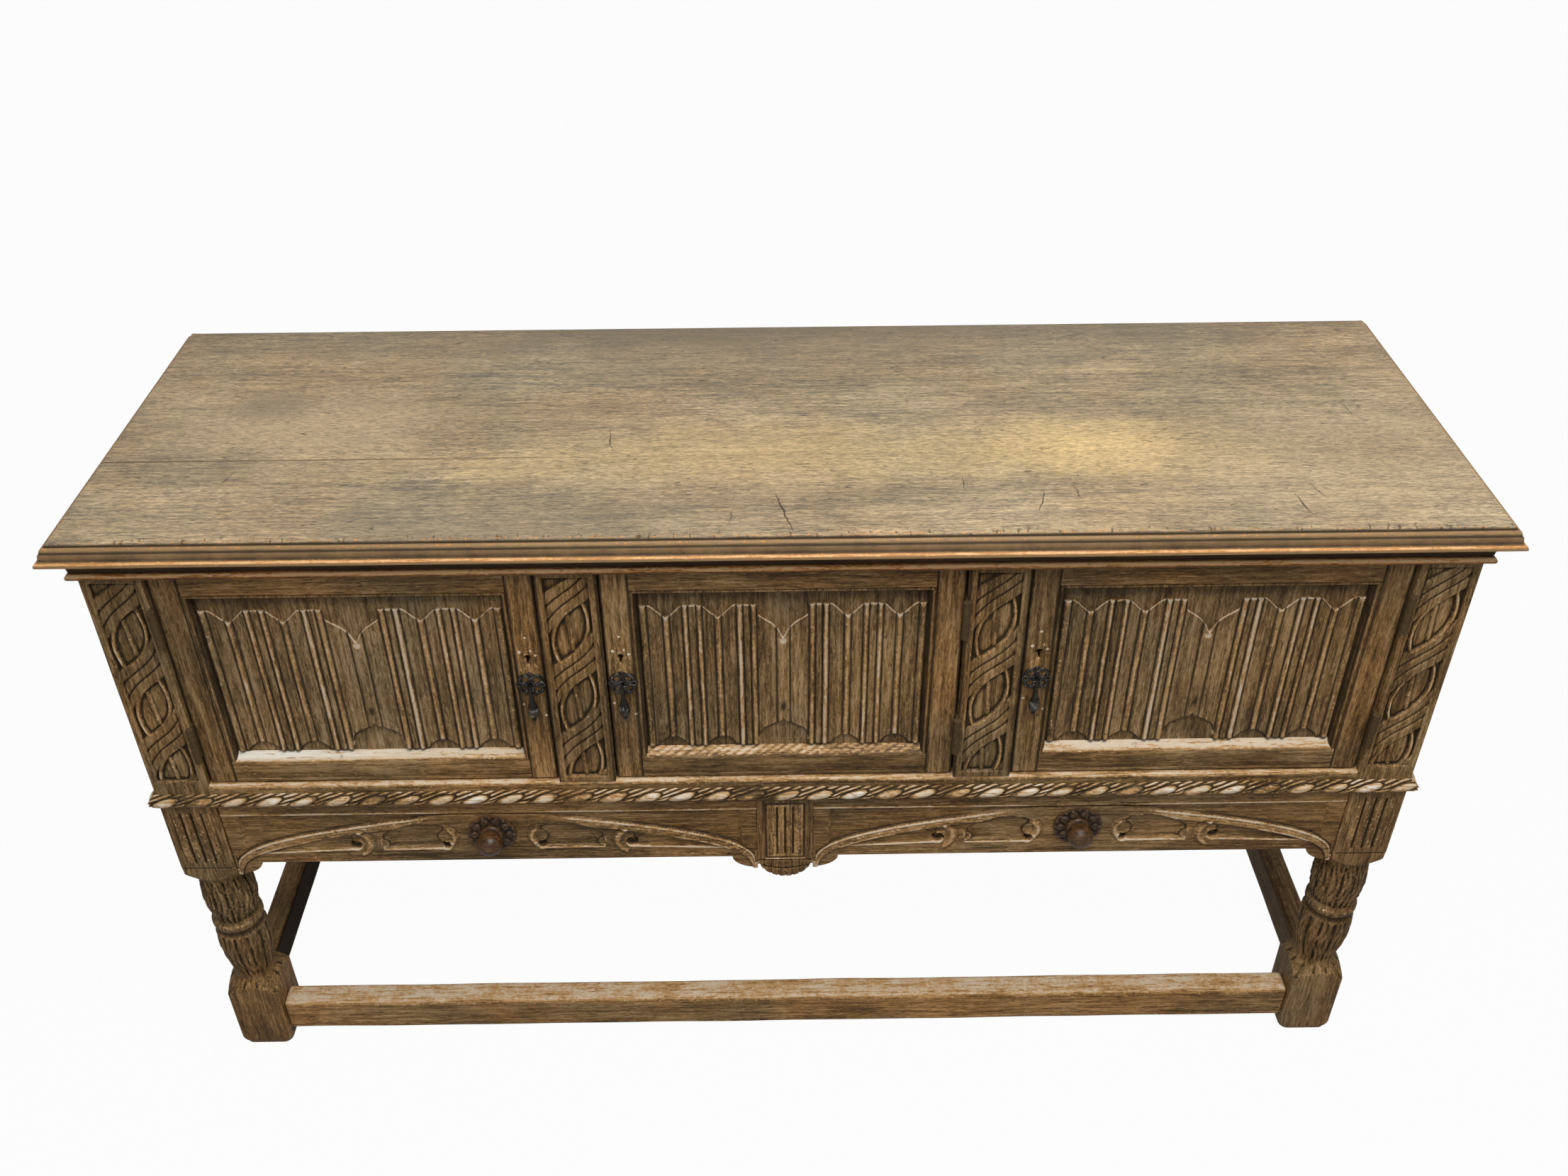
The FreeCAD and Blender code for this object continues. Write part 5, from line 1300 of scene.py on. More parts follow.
class DRESSER_OT_centre_block(bpy.types.Operator):
    """Make the reeded block between the drawers, with its pendant"""

    bl_idname = "dresser.centre_block"
    bl_label = "Centre Block"

    def execute(self, context):
        low, high = node_box("centre_block")
        block_foot, gouge_pitch = 369.0, 9.5
        chord, radius, widen = 34.0, 37.0, 0.9
        field_half, field_foot, field_head = 25.5, 383.0, 482.0
        reed_field = (387.0, 478.0, 21.0)
        lines = edge_lines(low[0] - widen, high[0] + widen, 1.0, 1.0)
        lines = np.unique(np.concatenate([lines, [-chord, chord]]))
        share = edge_lines(0.0, 1.0, 0.008, 0.0085)
        bow = np.sqrt(np.maximum(radius ** 2 - lines ** 2, 0)) - math.sqrt(radius ** 2 - chord ** 2)
        drop = np.where(np.abs(lines) < chord, bow, 0)
        drop = drop * (block_foot - low[2]) / drop.max()
        foot = block_foot - drop
        x = np.broadcast_to(lines, (len(share), len(lines)))
        z = foot + (high[2] - foot) * share[:, None]
        border = least(field_half - np.abs(x), z - field_foot, field_head - z)
        gouges = soft_line(np.sin(math.pi * x / gouge_pitch), 0.35) * smooth_step(377.0, 374.0, z)
        tiers = bump(z - 378.0, 1.8) + bump(z - 362.0 - 0.006 * x ** 2, 1.8)
        height = reeds(x, z, *reed_field) - 2.0 * soft_line(border, 1.5) - 1.6 * gouges - 1.8 * tiers
        reed_tops = 0.48 * smooth_step(1.5, 3.0, border)
        edge_line = 0.62 * soft_line(border - 2.6, 0.9)
        ledge = 0.8 * soft_line(z - 380.6, 1.2) * (np.abs(x) < 27.0)
        crests = 0.45 * (z < 376.0) * np.cos(math.pi * x / gouge_pitch) ** 2
        wear = most(reed_tops, edge_line, ledge, crests)
        skin = Skin(board=24.6)
        add_carved_front(skin, x, z, height, low[1], high[1], 3, 1.0, wear)
        make_piece("centre_block_carved", skin, "carcase", oak("upright"), ["centre_block"], seed=41)
        return {"FINISHED"}


class DRESSER_OT_stretchers(bpy.types.Operator):
    """Make the four stretchers, worn by feet"""

    bl_idname = "dresser.stretchers"
    bl_label = "Stretchers"

    def execute(self, context):
        for number, (node, worn) in enumerate((("stretcher_front", 1.0), ("stretcher_back", 0.5))):
            skin = Skin(board=26.3 + number)
            add_block(skin, *node_box(node), 7.0, 8.0, wear=0.62 * worn, tread=0.74 * worn)
            make_piece(node + "_worn", skin, "carcase", oak("across", "stretcher"), [node], 3.0, 45 + number)
        low, high = node_box("side_stretchers")
        thick = 36.0
        skin = Skin(board=29.1)
        for side in (-1, 1):
            skin.board += 1.1
            near, far = sorted((side * (high[0] - thick), side * high[0]))
            # The inner face of the left side stretcher gets painted shade.
            dirt_and_shade = [(0, 1)] if side < 0 else ()
            ends = ((near, low[1], low[2]), (far, high[1], high[2]))
            add_block(skin, *ends, 7.0, 16.0, wear=0.25, tread=0.2, dirt_and_shade=dirt_and_shade)
        make_piece("side_stretchers_worn", skin, "carcase", oak("deep"), ["side_stretchers"], 2.0, 48)
        return {"FINISHED"}


# Places of the folds across a linenfold panel count in modules from its middle, and this many make a panel.
LINEN_MODULES = 22.0
# Half the width of the folded part, in modules.
LINEN_HALF = 10.95
# A bead has its place, its half width and how far it is rubbed.
LINEN_BEADS = (
    (0.0, 0.46, 0.25), (2.24, 0.20, 0.8), (3.28, 0.20, 1.0), (4.94, 0.22, 0.8), (6.33, 0.18, 0.9),
    (7.40, 0.18, 0.9), (8.87, 0.22, 0.8), (10.6, 0.24, 0.45),
)
# A twisted ribbon and a broad fold have their place and half width.
LINEN_RIBBONS = ((2.76, 0.28), (6.87, 0.30))
LINEN_FOLDS = ((1.25, 0.7), (4.1, 0.6), (5.65, 0.48), (8.1, 0.5), (9.72, 0.65))
# Where the ends of the folds dip in.
LINEN_DIPS = (4.94, 8.87)
# The points in the middle of both ends: place in modules, and how far the end lies in, in millimetres.
LINEN_UPPER_POINT = ((0.0, 50.0), (0.3, 39.0), (0.88, 28.0), (1.4, 22.0), (1.9, 16.0), (2.02, 0.0))
LINEN_LOWER_POINT = (
    (0.0, 45.0), (0.2, 39.0), (0.8, 33.0), (1.6, 26.0), (1.85, 20.0), (1.96, 10.0), (2.0, 0.0),
)


def linen_groove(module, centre, half):
    """Cut beside a bead, from 0 to 1."""
    return soft_line(np.abs(module - centre) - half - 0.06, 0.085)


def linen_height(module, z):
    """Height of the linen folds at a place counted in modules from the panel's middle."""
    size = sizes()
    fold, sag, bead = size.fold_height / MM, size.fold_sag / MM, size.bead_height / MM
    height = np.full(module.shape, fold)
    for centre, half in LINEN_FOLDS:
        height = height - sag * bump(module - centre, half + 0.12) ** 2
    for centre, half, _ in LINEN_BEADS:
        height = height - 1.5 * linen_groove(module, centre, half)
        height = np.maximum(height, fold - 0.8 + (bead + 0.8) * bump(module - centre, half))
    for centre, half in LINEN_RIBBONS:
        twist = 0.5 + 0.5 * np.sin(2 * math.pi * (z / 15.0 + (module - centre) * 0.9))
        ribbon = fold - 0.6 + (bead - 0.6) * bump(module - centre, half) * (0.72 + 0.28 * twist)
        height = np.where(np.abs(module - centre) < half, np.maximum(height, ribbon), height)
    return height


def linen_outline(module, low, high):
    """Lower and upper end of the folds at each place: scalloped, with a deep point in the middle."""
    top = np.full(module.shape, high)
    bottom = np.full(module.shape, low)
    for centre in LINEN_DIPS:
        away = np.abs(module - centre)
        top = top - 17.0 * smooth_step(1.4, 0.0, away)
        bottom = bottom + 16.0 * np.clip(1 - away / 1.15, 0, 1) ** 0.6
    top = top - np.interp(module, *zip(*LINEN_UPPER_POINT))
    bottom = bottom + np.interp(module, *zip(*LINEN_LOWER_POINT))
    return bottom, top


def add_linenfold(skin, low, high, opening, face_ground):
    """Adds a linenfold panel: a plain ground with folds whose ends are cut in scallops."""
    middle = (opening[0] + opening[1]) / 2
    unit = (opening[1] - opening[0]) / LINEN_MODULES
    fold_low, fold_high = opening[2] + 3.0, opening[3] - 22.0
    lines = np.concatenate([[low[0]], spaced(opening[0] - 1.0, opening[1] + 1.0, 0.95), [high[0]]])
    module = np.abs(lines - middle) / unit
    bottom, top = linen_outline(module, fold_low, fold_high)
    ends = np.array([-3.0, -0.7, 0.0, 0.5, 1.2, 2.4])
    near_bottom = bottom[None, :] + ends[:, None]
    near_top = top[None, :] - ends[::-1, None]
    body = spaced(0.0, 1.0, 1 / 72)[1:-1, None]
    between = near_bottom[-1] + (near_top[0] - near_bottom[-1]) * body
    ground_low = low[2] + (near_bottom[0] - low[2]) * np.array([0.0, 0.5])[:, None]
    ground_high = near_top[-1] + (high[2] - near_top[-1]) * np.array([0.35, 0.7, 1.0])[:, None]
    z = np.concatenate([ground_low, near_bottom, between, near_top, ground_high])
    x = np.broadcast_to(lines, z.shape)
    spread = np.broadcast_to(module, z.shape)
    inside = np.minimum(z - bottom, top - z)
    height = linen_height(spread, z)
    curl = 0.9 * soft_line(top - z, 5.0) + 0.5 * soft_line(z - bottom, 5.0)
    cover = smooth_step(-0.7, 0.1, inside) * smooth_step(LINEN_HALF, LINEN_HALF - 0.1, spread)
    height = (height + curl) * cover
    beads = most(*(rub * bump(spread - centre, half) for centre, half, rub in LINEN_BEADS))
    cuts = most(*(linen_groove(spread, centre, half) for centre, half, _ in LINEN_BEADS))
    wear, grime = relief_marks(height, 4, 3.0, 2.2)
    wear = np.maximum(wear, cover * (0.20 + 0.70 * beads ** 2))
    # The cuts beside the beads are darkened, partly dirt and partly painted shade.
    grime = np.maximum(grime, 0.95 * cuts)
    # The lip along the upper ends of the folds is light, partly rubbing and partly a painted highlight.
    lip = soft_line(np.maximum(top - z, 0), 1.3) * (top - z > -0.9) * cover
    hooks = soft_spot(spread - 1.93, z - fold_low - 9.0, 0.14, 4.0)
    chip = soft_spot(spread, z - fold_high + 54.0, 0.35, 5.0)
    wear = np.maximum(wear, 1.25 * most(lip, hooks, chip))
    # Painted shade: the ground darkens under the rail at the top of the opening, along the lower ends of the
    # folds, at a spot above the lower middle point, and beside the outermost folds.
    ground = np.where(z < bottom, 0.30, 0.28) + 0.35 * smooth_step(opening[3] - 18.0, opening[3], z)
    eye = soft_spot(spread, z - fold_low - 64.0, 0.26, 9.0)
    foot = np.maximum(soft_line(z - bottom + 0.3, 2.3), 0.85 * eye)
    grime = np.maximum(grime * cover, ground * (1 - cover))
    grime = np.maximum(grime, 0.95 * foot) * (1 - hooks)
    grime = np.maximum(grime, 0.8 * soft_line(spread - LINEN_HALF, 0.18))
    add_slab(skin, x, z, face_ground - height, high[1], wear, np.clip(grime, 0, 1))


def keyhole_depth(x, z):
    """Depth of a keyhole cut round the origin: a round above a slot."""
    hole, slot_half, slot_foot, deep = 3.4, 1.5, 11.0, 9.0
    slot = least(slot_half - np.abs(x), slot_foot + z, 0.5 - z)
    return deep * smooth_step(-0.25, 0.25, np.maximum(hole - np.hypot(x, z), slot))


# Chips round a lock: across and up from its keyhole, and their half width.
STILE_CHIPS = (
    (0.0, 30.0, 1.6), (-9.0, 8.0, 2.0), (4.5, 10.0, 1.4), (10.0, 3.0, 1.7), (-14.5, -47.0, 1.8),
    (-11.0, -54.0, 1.4), (-13.0, -74.0, 1.6), (13.5, -92.0, 1.9),
)


def hatch_sill(skin, corners):
    """Cuts slanting hatching into the slope of a sill, the last sweep that the skin was given."""
    pitch, lean, deep = 13.0, 1.9, 0.5
    slope = slice(5, 10)
    points = skin.points[-3].reshape(-1, corners, 3)[:, slope]
    marks = skin.marks[-3].reshape(-1, corners, 3)[:, slope]
    along = points[..., 0] - lean * points[..., 1]
    turn = 2 * math.pi * along / pitch + 0.9 * np.sin(along / 29.0) + 0.7 * np.sin(along / 11.0)
    stripe = 0.5 + 0.5 * np.sin(turn)
    points[:, 1:-1, 2] -= deep * (1 - stripe[:, 1:-1])
    marks[..., 0] *= 0.50 + 0.48 * stripe
    marks[..., 1] = np.maximum(marks[..., 1], 0.22 * (1 - stripe) ** 3)


def add_stile(skin, low, high, keyhole=None, case=None):
    """Adds one stile of a door, with a keyhole and a notch for the lock case if they are given."""
    round_edge = 1.6
    lines = edge_lines(low[0], high[0], round_edge, 5.0)
    levels = edge_lines(low[2], high[2], round_edge, 8.0)
    if keyhole is not None:
        lines = [lines, keyhole[0] + np.linspace(-4.6, 4.6, 33), keyhole[0] + spaced(-17.0, 17.0, 1.1)]
        levels = [levels, keyhole[1] + np.linspace(-12.5, 4.6, 53), keyhole[1] + spaced(-98.0, 36.0, 1.3)]
        lines = np.clip(np.unique(np.concatenate(lines)), low[0], high[0])
        levels = np.unique(np.concatenate(levels))
    x, z = np.meshgrid(lines, levels)
    edge = least(x - low[0], high[0] - x, z - low[2], high[2] - z)
    wear = 0.10 * np.clip(1.15 - edge / 2.6, 0, 1)
    pit = np.zeros(x.shape)
    if keyhole is not None:
        pit = keyhole_depth(x - keyhole[0], z - keyhole[1])
        handled = soft_spot(x - keyhole[0], z - keyhole[1] + 22.0, 13.0, 48.0)
        wear = np.maximum(wear, 0.60 * handled)
        for chip_x, chip_z, chip_size in STILE_CHIPS:
            away = np.hypot(x - keyhole[0] - chip_x, z - keyhole[1] - chip_z)
            wear = np.maximum(wear, 1.4 * smooth_step(chip_size + 0.8, chip_size - 0.4, away))
    # Painted shade: the stile darkens round its rim, most along its sides in the gaps beside the door, and
    # inside the keyhole.
    side_edge = np.minimum(x - low[0], high[0] - x)
    grime = most(0.8 * np.exp(-edge / 1.2), 0.95 * soft_line(side_edge, 3.2), np.clip(pit / 3.0, 0, 1))
    back = high[1] if case is None else case[0][1]
    add_slab(skin, x, z, low[1] + edge_roll(edge, round_edge) + pit, back, wear, grime)
    if case is not None:
        on_right = high[0] - case[1][0] < 1.0
        solid_x = (low[0], case[0][0]) if on_right else (case[1][0], high[0])
        add_layer(skin, (low[0], back, low[2]), high, solid_x, (case[0][2], case[1][2]))


class DRESSER_OT_doors(bpy.types.Operator):
    """Make the frames and linenfold panels of the three doors"""

    bl_idname = "dresser.doors"
    bl_label = "Linenfold Doors"

    def execute(self, context):
        edge_wide, panel_inset = 7.0, 13.0
        sill_rise, sill_deep, sill_nose = 9.0, 12.0, 0.9
        opening_foot, opening_head = 571.0, 818.0
        lock_side = {"left": 1, "middle": -1, "right": -1}
        # How the sills' light tone, partly a painted highlight, fades from left to right.
        sill_fades = {"left": (1.0, 0.58), "middle": (0.74, 0.55), "right": (0.72, 0.66)}
        for number, door in enumerate(DOORS):
            body = f"door_{door}"
            low, high = node_box(f"{body}_stiles")
            rail_low, rail_high = node_box(f"{body}_rails")
            panel_low, panel_high = node_box(f"{body}_panel")
            case_low, case_high = node_box(f"{body}_lock_case")
            opening = (rail_low[0], rail_high[0], opening_foot, opening_head)
            left, right = opening[0] - edge_wide, opening[1] + edge_wide
            head, sill = opening_head + edge_wide, opening_foot - sill_rise
            thick, sill_tall = high[1] - low[1], sill - low[2]
            plate_low, plate_high = node_box(f"{body}_handle_plate")
            keyhole = ((plate_low[0] + plate_high[0]) / 2, (case_low[2] + case_high[2]) / 2)
            stiles = Skin(board=31.0 + 3.7 * number)
            for side, (near, far) in ((-1, (low[0], left)), (1, (right, high[0]))):
                stiles.board += 1.7
                lock = (keyhole, (case_low, case_high)) if lock_side[door] == side else (None, None)
                add_stile(stiles, (near, low[1], low[2]), (far, high[1], high[2]), *lock)
            timber = oak("upright", "door")
            make_piece(f"{body}_stiles_worn", stiles, body, timber, [f"{body}_stiles"], seed=51 + number)
            rails = Skin(board=42.0 + 2.9 * number)
            add_block(rails, (left, low[1], head), (right, high[1], high[2]), 1.6, wear=0.25)
            section = [(0.0, 1.5), (0.0, 6.0), (-0.6, 6.8), (0.0, 7.6), (0.0, sill_tall - 1.2)]
            for share in (0.0, 0.25, 0.5, 0.75, 1.0):
                section.append((-sill_nose - (sill_deep - sill_nose) * share, sill_tall + sill_rise * share))
            section += [(-thick, opening_foot - low[2]), (-thick, 0.0), (-1.5, 0.0)]
            rails.board += 1.3
            # The rail's face under the sill is darkened as painted shade; the sill's slope is light, partly
            # rubbing and partly a painted highlight.
            add_sweep(
                rails, section, [(left, low[1], low[2]), (right, low[1], low[2])], [(0, -1, 0)],
                step=1.8 if door == "middle" else 18.0,
                wear=np.array([0.2, 0.0, 0.0, 0.4, 0.0, 0.6, 1.2, 1.45, 1.45, 1.45, 0.6, 0.0, 0.2]),
                grime=np.array([0.3, 0.3, 0.7, 0.3, 0.3, 0.3] + 7 * [0.0]), fade=sill_fades[door],
            )
            if door == "middle":
                hatch_sill(rails, len(section))
            timber = oak("across", "door")
            make_piece(f"{body}_rails_worn", rails, body, timber, [f"{body}_rails"], seed=55 + number)
            moulding = Skin(board=47.0 + 1.9 * number)
            section = [
                (0.0, 0.0), (0.7, -1.6), (1.4, -0.4), (2.6, 0.1), (3.8, -0.5), (4.6, -2.2), (5.2, -3.6),
                (6.6, -6.0), (edge_wide, -9.0), (edge_wide, -thick), (0.0, -thick),
            ]
            wear = np.array([0.3, 0.0, 0.1, 0.3, 0.2, 0.0, 0.0, 0.1, 0.0, 0.0, 0.0])
            # The moulding darkens down its inner slope into the reveal: painted shade.
            grime = np.array([0.0, 0.7, 0.3, 0.2, 0.3, 0.7, 0.8, 0.6, 0.8, 0.0, 0.0])
            way = ((left, sill), (left, head), (right, head), (right, sill))
            corners = [(x, low[1], z) for x, z in way]
            inward = [(1, 0, 0), (0, 0, -1), (-1, 0, 0)]
            add_sweep(moulding, section, corners, inward, (0, -1, 0), 12.0, wear, grime)
            make_piece(f"{body}_frame_moulding", moulding, body, oak("upright"), seed=58 + number)
            panel = Skin(board=53.0 + 4.3 * number)
            add_linenfold(panel, panel_low, panel_high, opening, low[1] + panel_inset)
            timber = oak("upright", "panel")
            make_piece(f"{body}_linenfold", panel, body, timber, [f"{body}_panel"], seed=61 + number)
        return {"FINISHED"}


# Places on half a drawer front, in millimetres from its middle and from the level of its lower edge.
ARCH_SPAN = (51.0, 347.0)
ARCH_FOOT = -20.0
ARCH_RISE = 94.0
# Curled leaves in the tracery: centre across and up, radius, and where across the curl ends.
TRACERY_LEAVES = ((184.0, 23.0, 20.0, 180.0), (68.0, 32.0, 17.0, 62.0), (158.0, 24.0, 9.0, 152.0))


def arch_level(across):
    """Height of the arch's upper line above the drawer's lower edge."""
    share = np.clip((across - ARCH_SPAN[0]) / (ARCH_SPAN[1] - ARCH_SPAN[0]), 0.0, 1.0)
    return ARCH_FOOT + ARCH_RISE * (1 - share) ** 0.40


def drawer_foot(across, half):
    """Level of the drawer front's lower outline: straight, with a bracket at each end."""
    apron, bracket, drop = 12.0, 34.0, 21.0
    share = np.clip((across - (half - bracket)) / bracket, 0.0, 1.0)
    return -apron - drop * np.sqrt(np.maximum(1 - (1 - share) ** 2, 0.0))


def drawer_carving(across, level, half, tall):
    """Height of a drawer front's carving: a border, an arched rib, and tracery below it."""
    size = sizes()
    rib = size.rib_width / MM
    deep = size.tracery_depth / MM
    border, end_border, spandrel_deep, plane_deep = 16.0, 19.0, 4.0, 1.8
    arch = arch_level(across)
    slope = np.clip(arch_level(across + 0.5) - arch_level(across - 0.5), -4.0, 0.0)
    normal = (level - arch) / np.sqrt(1 + slope ** 2) + rib / 2
    spandrel_edge = least(tall - border - level, (half - end_border - across) / 3, normal - rib / 2 + 0.6)
    spandrel = -spandrel_deep * smooth_step(0.0, 2.2, spandrel_edge)
    below = -(normal + rib / 2) + 0.8
    height = spandrel - plane_deep * smooth_step(0.0, 2.0, below)
    fade = smooth_step(ARCH_SPAN[0] + 16.0, ARCH_SPAN[0] + 70.0, across)
    height = height + fade * (1.2 * bump(normal, rib / 2) ** 0.5 - 0.9 * bump(normal - 0.20 * rib, 0.8))
    height = height + 1.1 * bump(level - (tall - border + 1.6), 1.6)
    outer_top = arch - rib - 1.0
    outer = least(outer_top - level, level - 12.0 + 0.04 * (across - 198), 310.0 - across, across - 186.0)
    outer = np.minimum(outer, np.hypot(across - 194.0, level - 42.0) - 9.0)
    inner_top = 60.0 - ((across - 95.0) / 10.8) ** 2
    inner = least(inner_top - level, level - 12.0, 146.0 - across, across - 64.0)
    inner = np.minimum(inner, np.hypot(across - 146.0, level - 22.0) - 7.0)
    inner = np.minimum(inner, np.hypot(across - 62.0, level - 34.0) - 10.0)
    eye = 8.5 - np.hypot(across - 184.0, level - 20.0)
    small_eye = 6.5 - np.hypot(across - 63.0, level - 17.0)
    pocket = most(outer, inner, eye, small_eye)
    height = height - deep * (0.5 * smooth_step(0.0, 4.5, outer) + 0.8 * smooth_step(0.0, 5.0, inner))
    height = height - 1.3 * deep * smooth_step(0.0, 3.0, np.maximum(eye, small_eye))
    leaves = np.zeros(height.shape)
    for centre, middle, radius, end in TRACERY_LEAVES:
        leaf = np.abs(np.hypot(across - centre, level - middle) - radius)
        shown = smooth_step(end, end - 4.0, across)
        leaves = np.maximum(leaves, shown * bump(leaf, 0.23 * radius))
        height = height - 1.2 * shown * bump(leaf - 0.38 * radius, 1.6)
    height = height + 2.0 * leaves
    lip = bump(pocket + 1.6, 1.7)
    height = height + 0.8 * lip * (level < 30.0)
    return height * smooth_step(-1.5, 2.5, level - drawer_foot(across, half)), pocket, normal / rib, leaves


class DRESSER_OT_drawers(bpy.types.Operator):
    """Make the carved fronts of the two drawers"""

    bl_idname = "dresser.drawers"
    bl_label = "Drawer Fronts"

    def execute(self, context):
        main_foot, foot_round = 393.0, 3.0
        for number, drawer in enumerate(DRAWERS):
            node = f"drawer_{drawer}_front"
            low, high = node_box(node)
            middle = (low[0] + high[0]) / 2
            half = (high[0] - low[0]) / 2 + 0.5
            tall = high[2] - main_foot
            right_half = np.concatenate([
                spaced(0.0, half - 40.0, 1.35), spaced(half - 39.0, half - 2.0, 1.0),
                half - np.array([1.2, 0.5, 0.0]),
            ])
            lines = np.concatenate([-right_half[:0:-1], right_half])
            foot = drawer_foot(np.abs(lines), half)
            share = np.concatenate([
                [0.0, 0.004, 0.010, 0.019, 0.030], spaced(0.042, 0.985, 1 / 92), [0.993, 1.0],
            ])
            level = foot + (tall - foot) * share[:, None]
            x = np.broadcast_to(lines, level.shape)
            away = np.abs(x)
            height, pocket, rib_place, leaves = drawer_carving(away, level, half, tall)
            height = height - edge_roll(level - foot, foot_round)
            lower_lip = soft_line(pocket + 0.6, 1.3) * (level < 17.0)
            foot_line = soft_line(level + 3.0 + 0.05 * (away - 254.0), 1.4)
            foot_line = foot_line * smooth_step(190.0, 210.0, away) * smooth_step(316.0, 300.0, away)
            # The border's lower lip and the rib's upper edge are light, partly rubbing and partly a painted
            # highlight.
            border_lip = soft_line(level - (tall - 14.4), 1.2) * smooth_step(40.0, 130.0, away)
            rib_top = soft_line(rib_place - 0.42, 0.07) + 0.35 * bump(rib_place, 0.5)
            rib_top = rib_top * smooth_step(85.0, 130.0, away)
            extra = np.clip(lower_lip + 1.1 * border_lip + rib_top + 0.6 * foot_line + 0.35 * leaves, 0, 1.1)
            in_pockets = soft_line(pocket - 1.0, 1.6) * (level > 18.0)
            below_rib = soft_line(rib_place + 0.56, 0.12) * smooth_step(85.0, 150.0, away)
            above_rib = soft_line(rib_place - 0.62, 0.10) * smooth_step(120.0, 200.0, away)
            shaded = 0.85 * most(in_pockets, below_rib, above_rib)
            skin = Skin(board=66.0 + 5.1 * number)
            add_carved_front(
                skin, x + middle, level + main_foot, height, low[1], high[1], 4, 1.2, extra, 4.0, shaded,
            )
            timber = oak("across", "door")
            make_piece(node + "_carved", skin, f"drawer_{drawer}", timber, [node], seed=71 + number)
        return {"FINISHED"}


def petal_mesh():
    """One petal of a rosette, lying in the XY plane and pointing along X."""
    around, along = np.meshgrid(np.linspace(0, math.pi, 9), np.linspace(0, 1, 8))
    half = 6.0 * np.sin(math.pi * np.clip(along, 0.06, 0.96)) ** 0.7
    x = 13.0 * (along - 0.5)
    y = half * np.cos(around)
    crease = 1 - 0.35 * soft_line(np.cos(around), 0.25)
    z = (1.4 + 2.6 * np.sin(math.pi * along)) * np.sin(around) * crease
    wear = 0.22 * np.clip(z / 3.0, 0, 1)
    skin = Skin(board=75.0)
    skin.grid(x, y, z, wear, 0.7 - wear)
    return skin.mesh("petal")


def seed_mesh():
    """One round bead of a rosette's ring."""
    skin = Skin(board=75.0)
    angle = np.linspace(0, math.pi / 2, 4)
    profile = np.stack([1.9 * np.cos(angle), 1.9 * np.sin(angle)], -1)
    add_turned(skin, profile, (0, 0, 0), (0, 0, 1), 8, wear=np.linspace(0, 0.4, 4))
    return skin.mesh("seed")


class DRESSER_OT_knobs(bpy.types.Operator):
    """Make the turned drawer knobs on their carved rosettes"""

    bl_idname = "dresser.knobs"
    bl_label = "Drawer Knobs"

    def execute(self, context):
        material = oak("across", "polished")
        for number, drawer in enumerate(DRAWERS):
            node = f"drawer_{drawer}_knob"
            low, high = node_box(node)
            centre = ((low[0] + high[0]) / 2, high[1], (low[2] + high[2]) / 2)
            reach = high[1] - low[1]
            disc = (high[2] - low[2]) / 2
            skin = Skin(board=77.0 + 1.3 * number)
            ball, ball_place = 16.6, reach - 9.0
            profile = [
                (0.0, -1.0), (disc, -1.0), (disc, 1.2), (disc - 1.2, 2.0), (disc - 4.0, 1.6), (20.0, 1.4),
                (15.4, 2.2), (15.2, 4.4), (13.4, 6.4), (10.2, 7.4), (9.4, 8.2),
            ]
            for angle in np.linspace(-0.22 * math.pi, 0.5 * math.pi, 15):
                profile.append((ball * math.cos(angle), ball_place + ball * math.sin(angle)))
            grime = np.full(len(profile), 0.1)
            grime[4:6] = 0.8
            grime[9:12] = 0.8
            add_turned(skin, profile, centre, (0, -1, 0), 56, 0.0, grime)
            facing = Matrix.Rotation(math.radians(90), 4, "X")
            place = Matrix.Translation((centre[0] * MM, (centre[1] - 2.0) * MM, centre[2] * MM))
            rings = (
                (petal_mesh(), sizes().petal_count, 22.5),
                (seed_mesh(), 2 * sizes().petal_count, 29.3),
            )
            for ring, (shape, count, radius) in enumerate(rings):
                mesh = made_copies(f"rosette_{drawer}_{ring}", shape, count, radius, material, True)
                mesh.transform(place @ facing)
                skin.take(mesh)
            make_piece(node + "_turned", skin, f"drawer_{drawer}", material, [node], waver=0.0)
        return {"FINISHED"}


def ring_mesh(radius, wide, thick):
    """A flat ring with rounded edges in the XY plane."""
    skin = Skin()
    turn = np.linspace(0, 2 * math.pi, 10, endpoint=False)
    section_r = radius + wide / 2 * np.cos(turn)
    section_z = thick / 2 * np.sin(turn)
    profile = np.stack([np.append(section_r, section_r[0]), np.append(section_z, section_z[0])], -1)
    wear = np.clip(np.append(np.sin(turn), 0.0), 0, 1) ** 4 * 0.5
    add_turned(skin, profile, (0, 0, 0), (0, 0, 1), 20, wear)
    return skin.mesh("ring")


# Profiles of a handle, as radius and place along the axis: the plate's boss, its pin, and the pear drop down
# from the pin.
BOSS_PROFILE = ((0.0, 0.0), (6.2, 0.0), (6.2, 1.6), (5.4, 2.4), (3.4, 2.9), (0.0, 3.0))
PIN_PROFILE = (
    (0.0, -6.0), (1.6, -6.0), (2.0, -5.4), (2.0, -4.8), (1.5, -4.8), (1.5, 4.8), (2.0, 4.8), (2.0, 5.4),
    (1.6, 6.0), (0.0, 6.0),
)
PEAR_PROFILE = (
    (0.0, 1.4), (1.8, 1.4), (2.6, 0.0), (2.6, -2.6), (1.7, -4.0), (1.9, -6.0), (2.3, -12.0), (2.9, -19.0),
    (4.0, -24.0), (5.6, -29.0), (6.8, -33.5), (7.2, -37.5), (6.6, -41.6), (4.8, -44.8), (2.4, -46.8),
    (1.7, -47.6), (2.4, -49.0), (2.6, -50.4), (2.0, -52.0), (0.9, -53.4),
)
# Wear of the pear drop at distances below the pin.
PEAR_WEAR = ((0, 0.1), (24, 0.15), (34, 0.5), (40, 0.45), (46, 0.2), (48, 0.1), (51, 0.4))


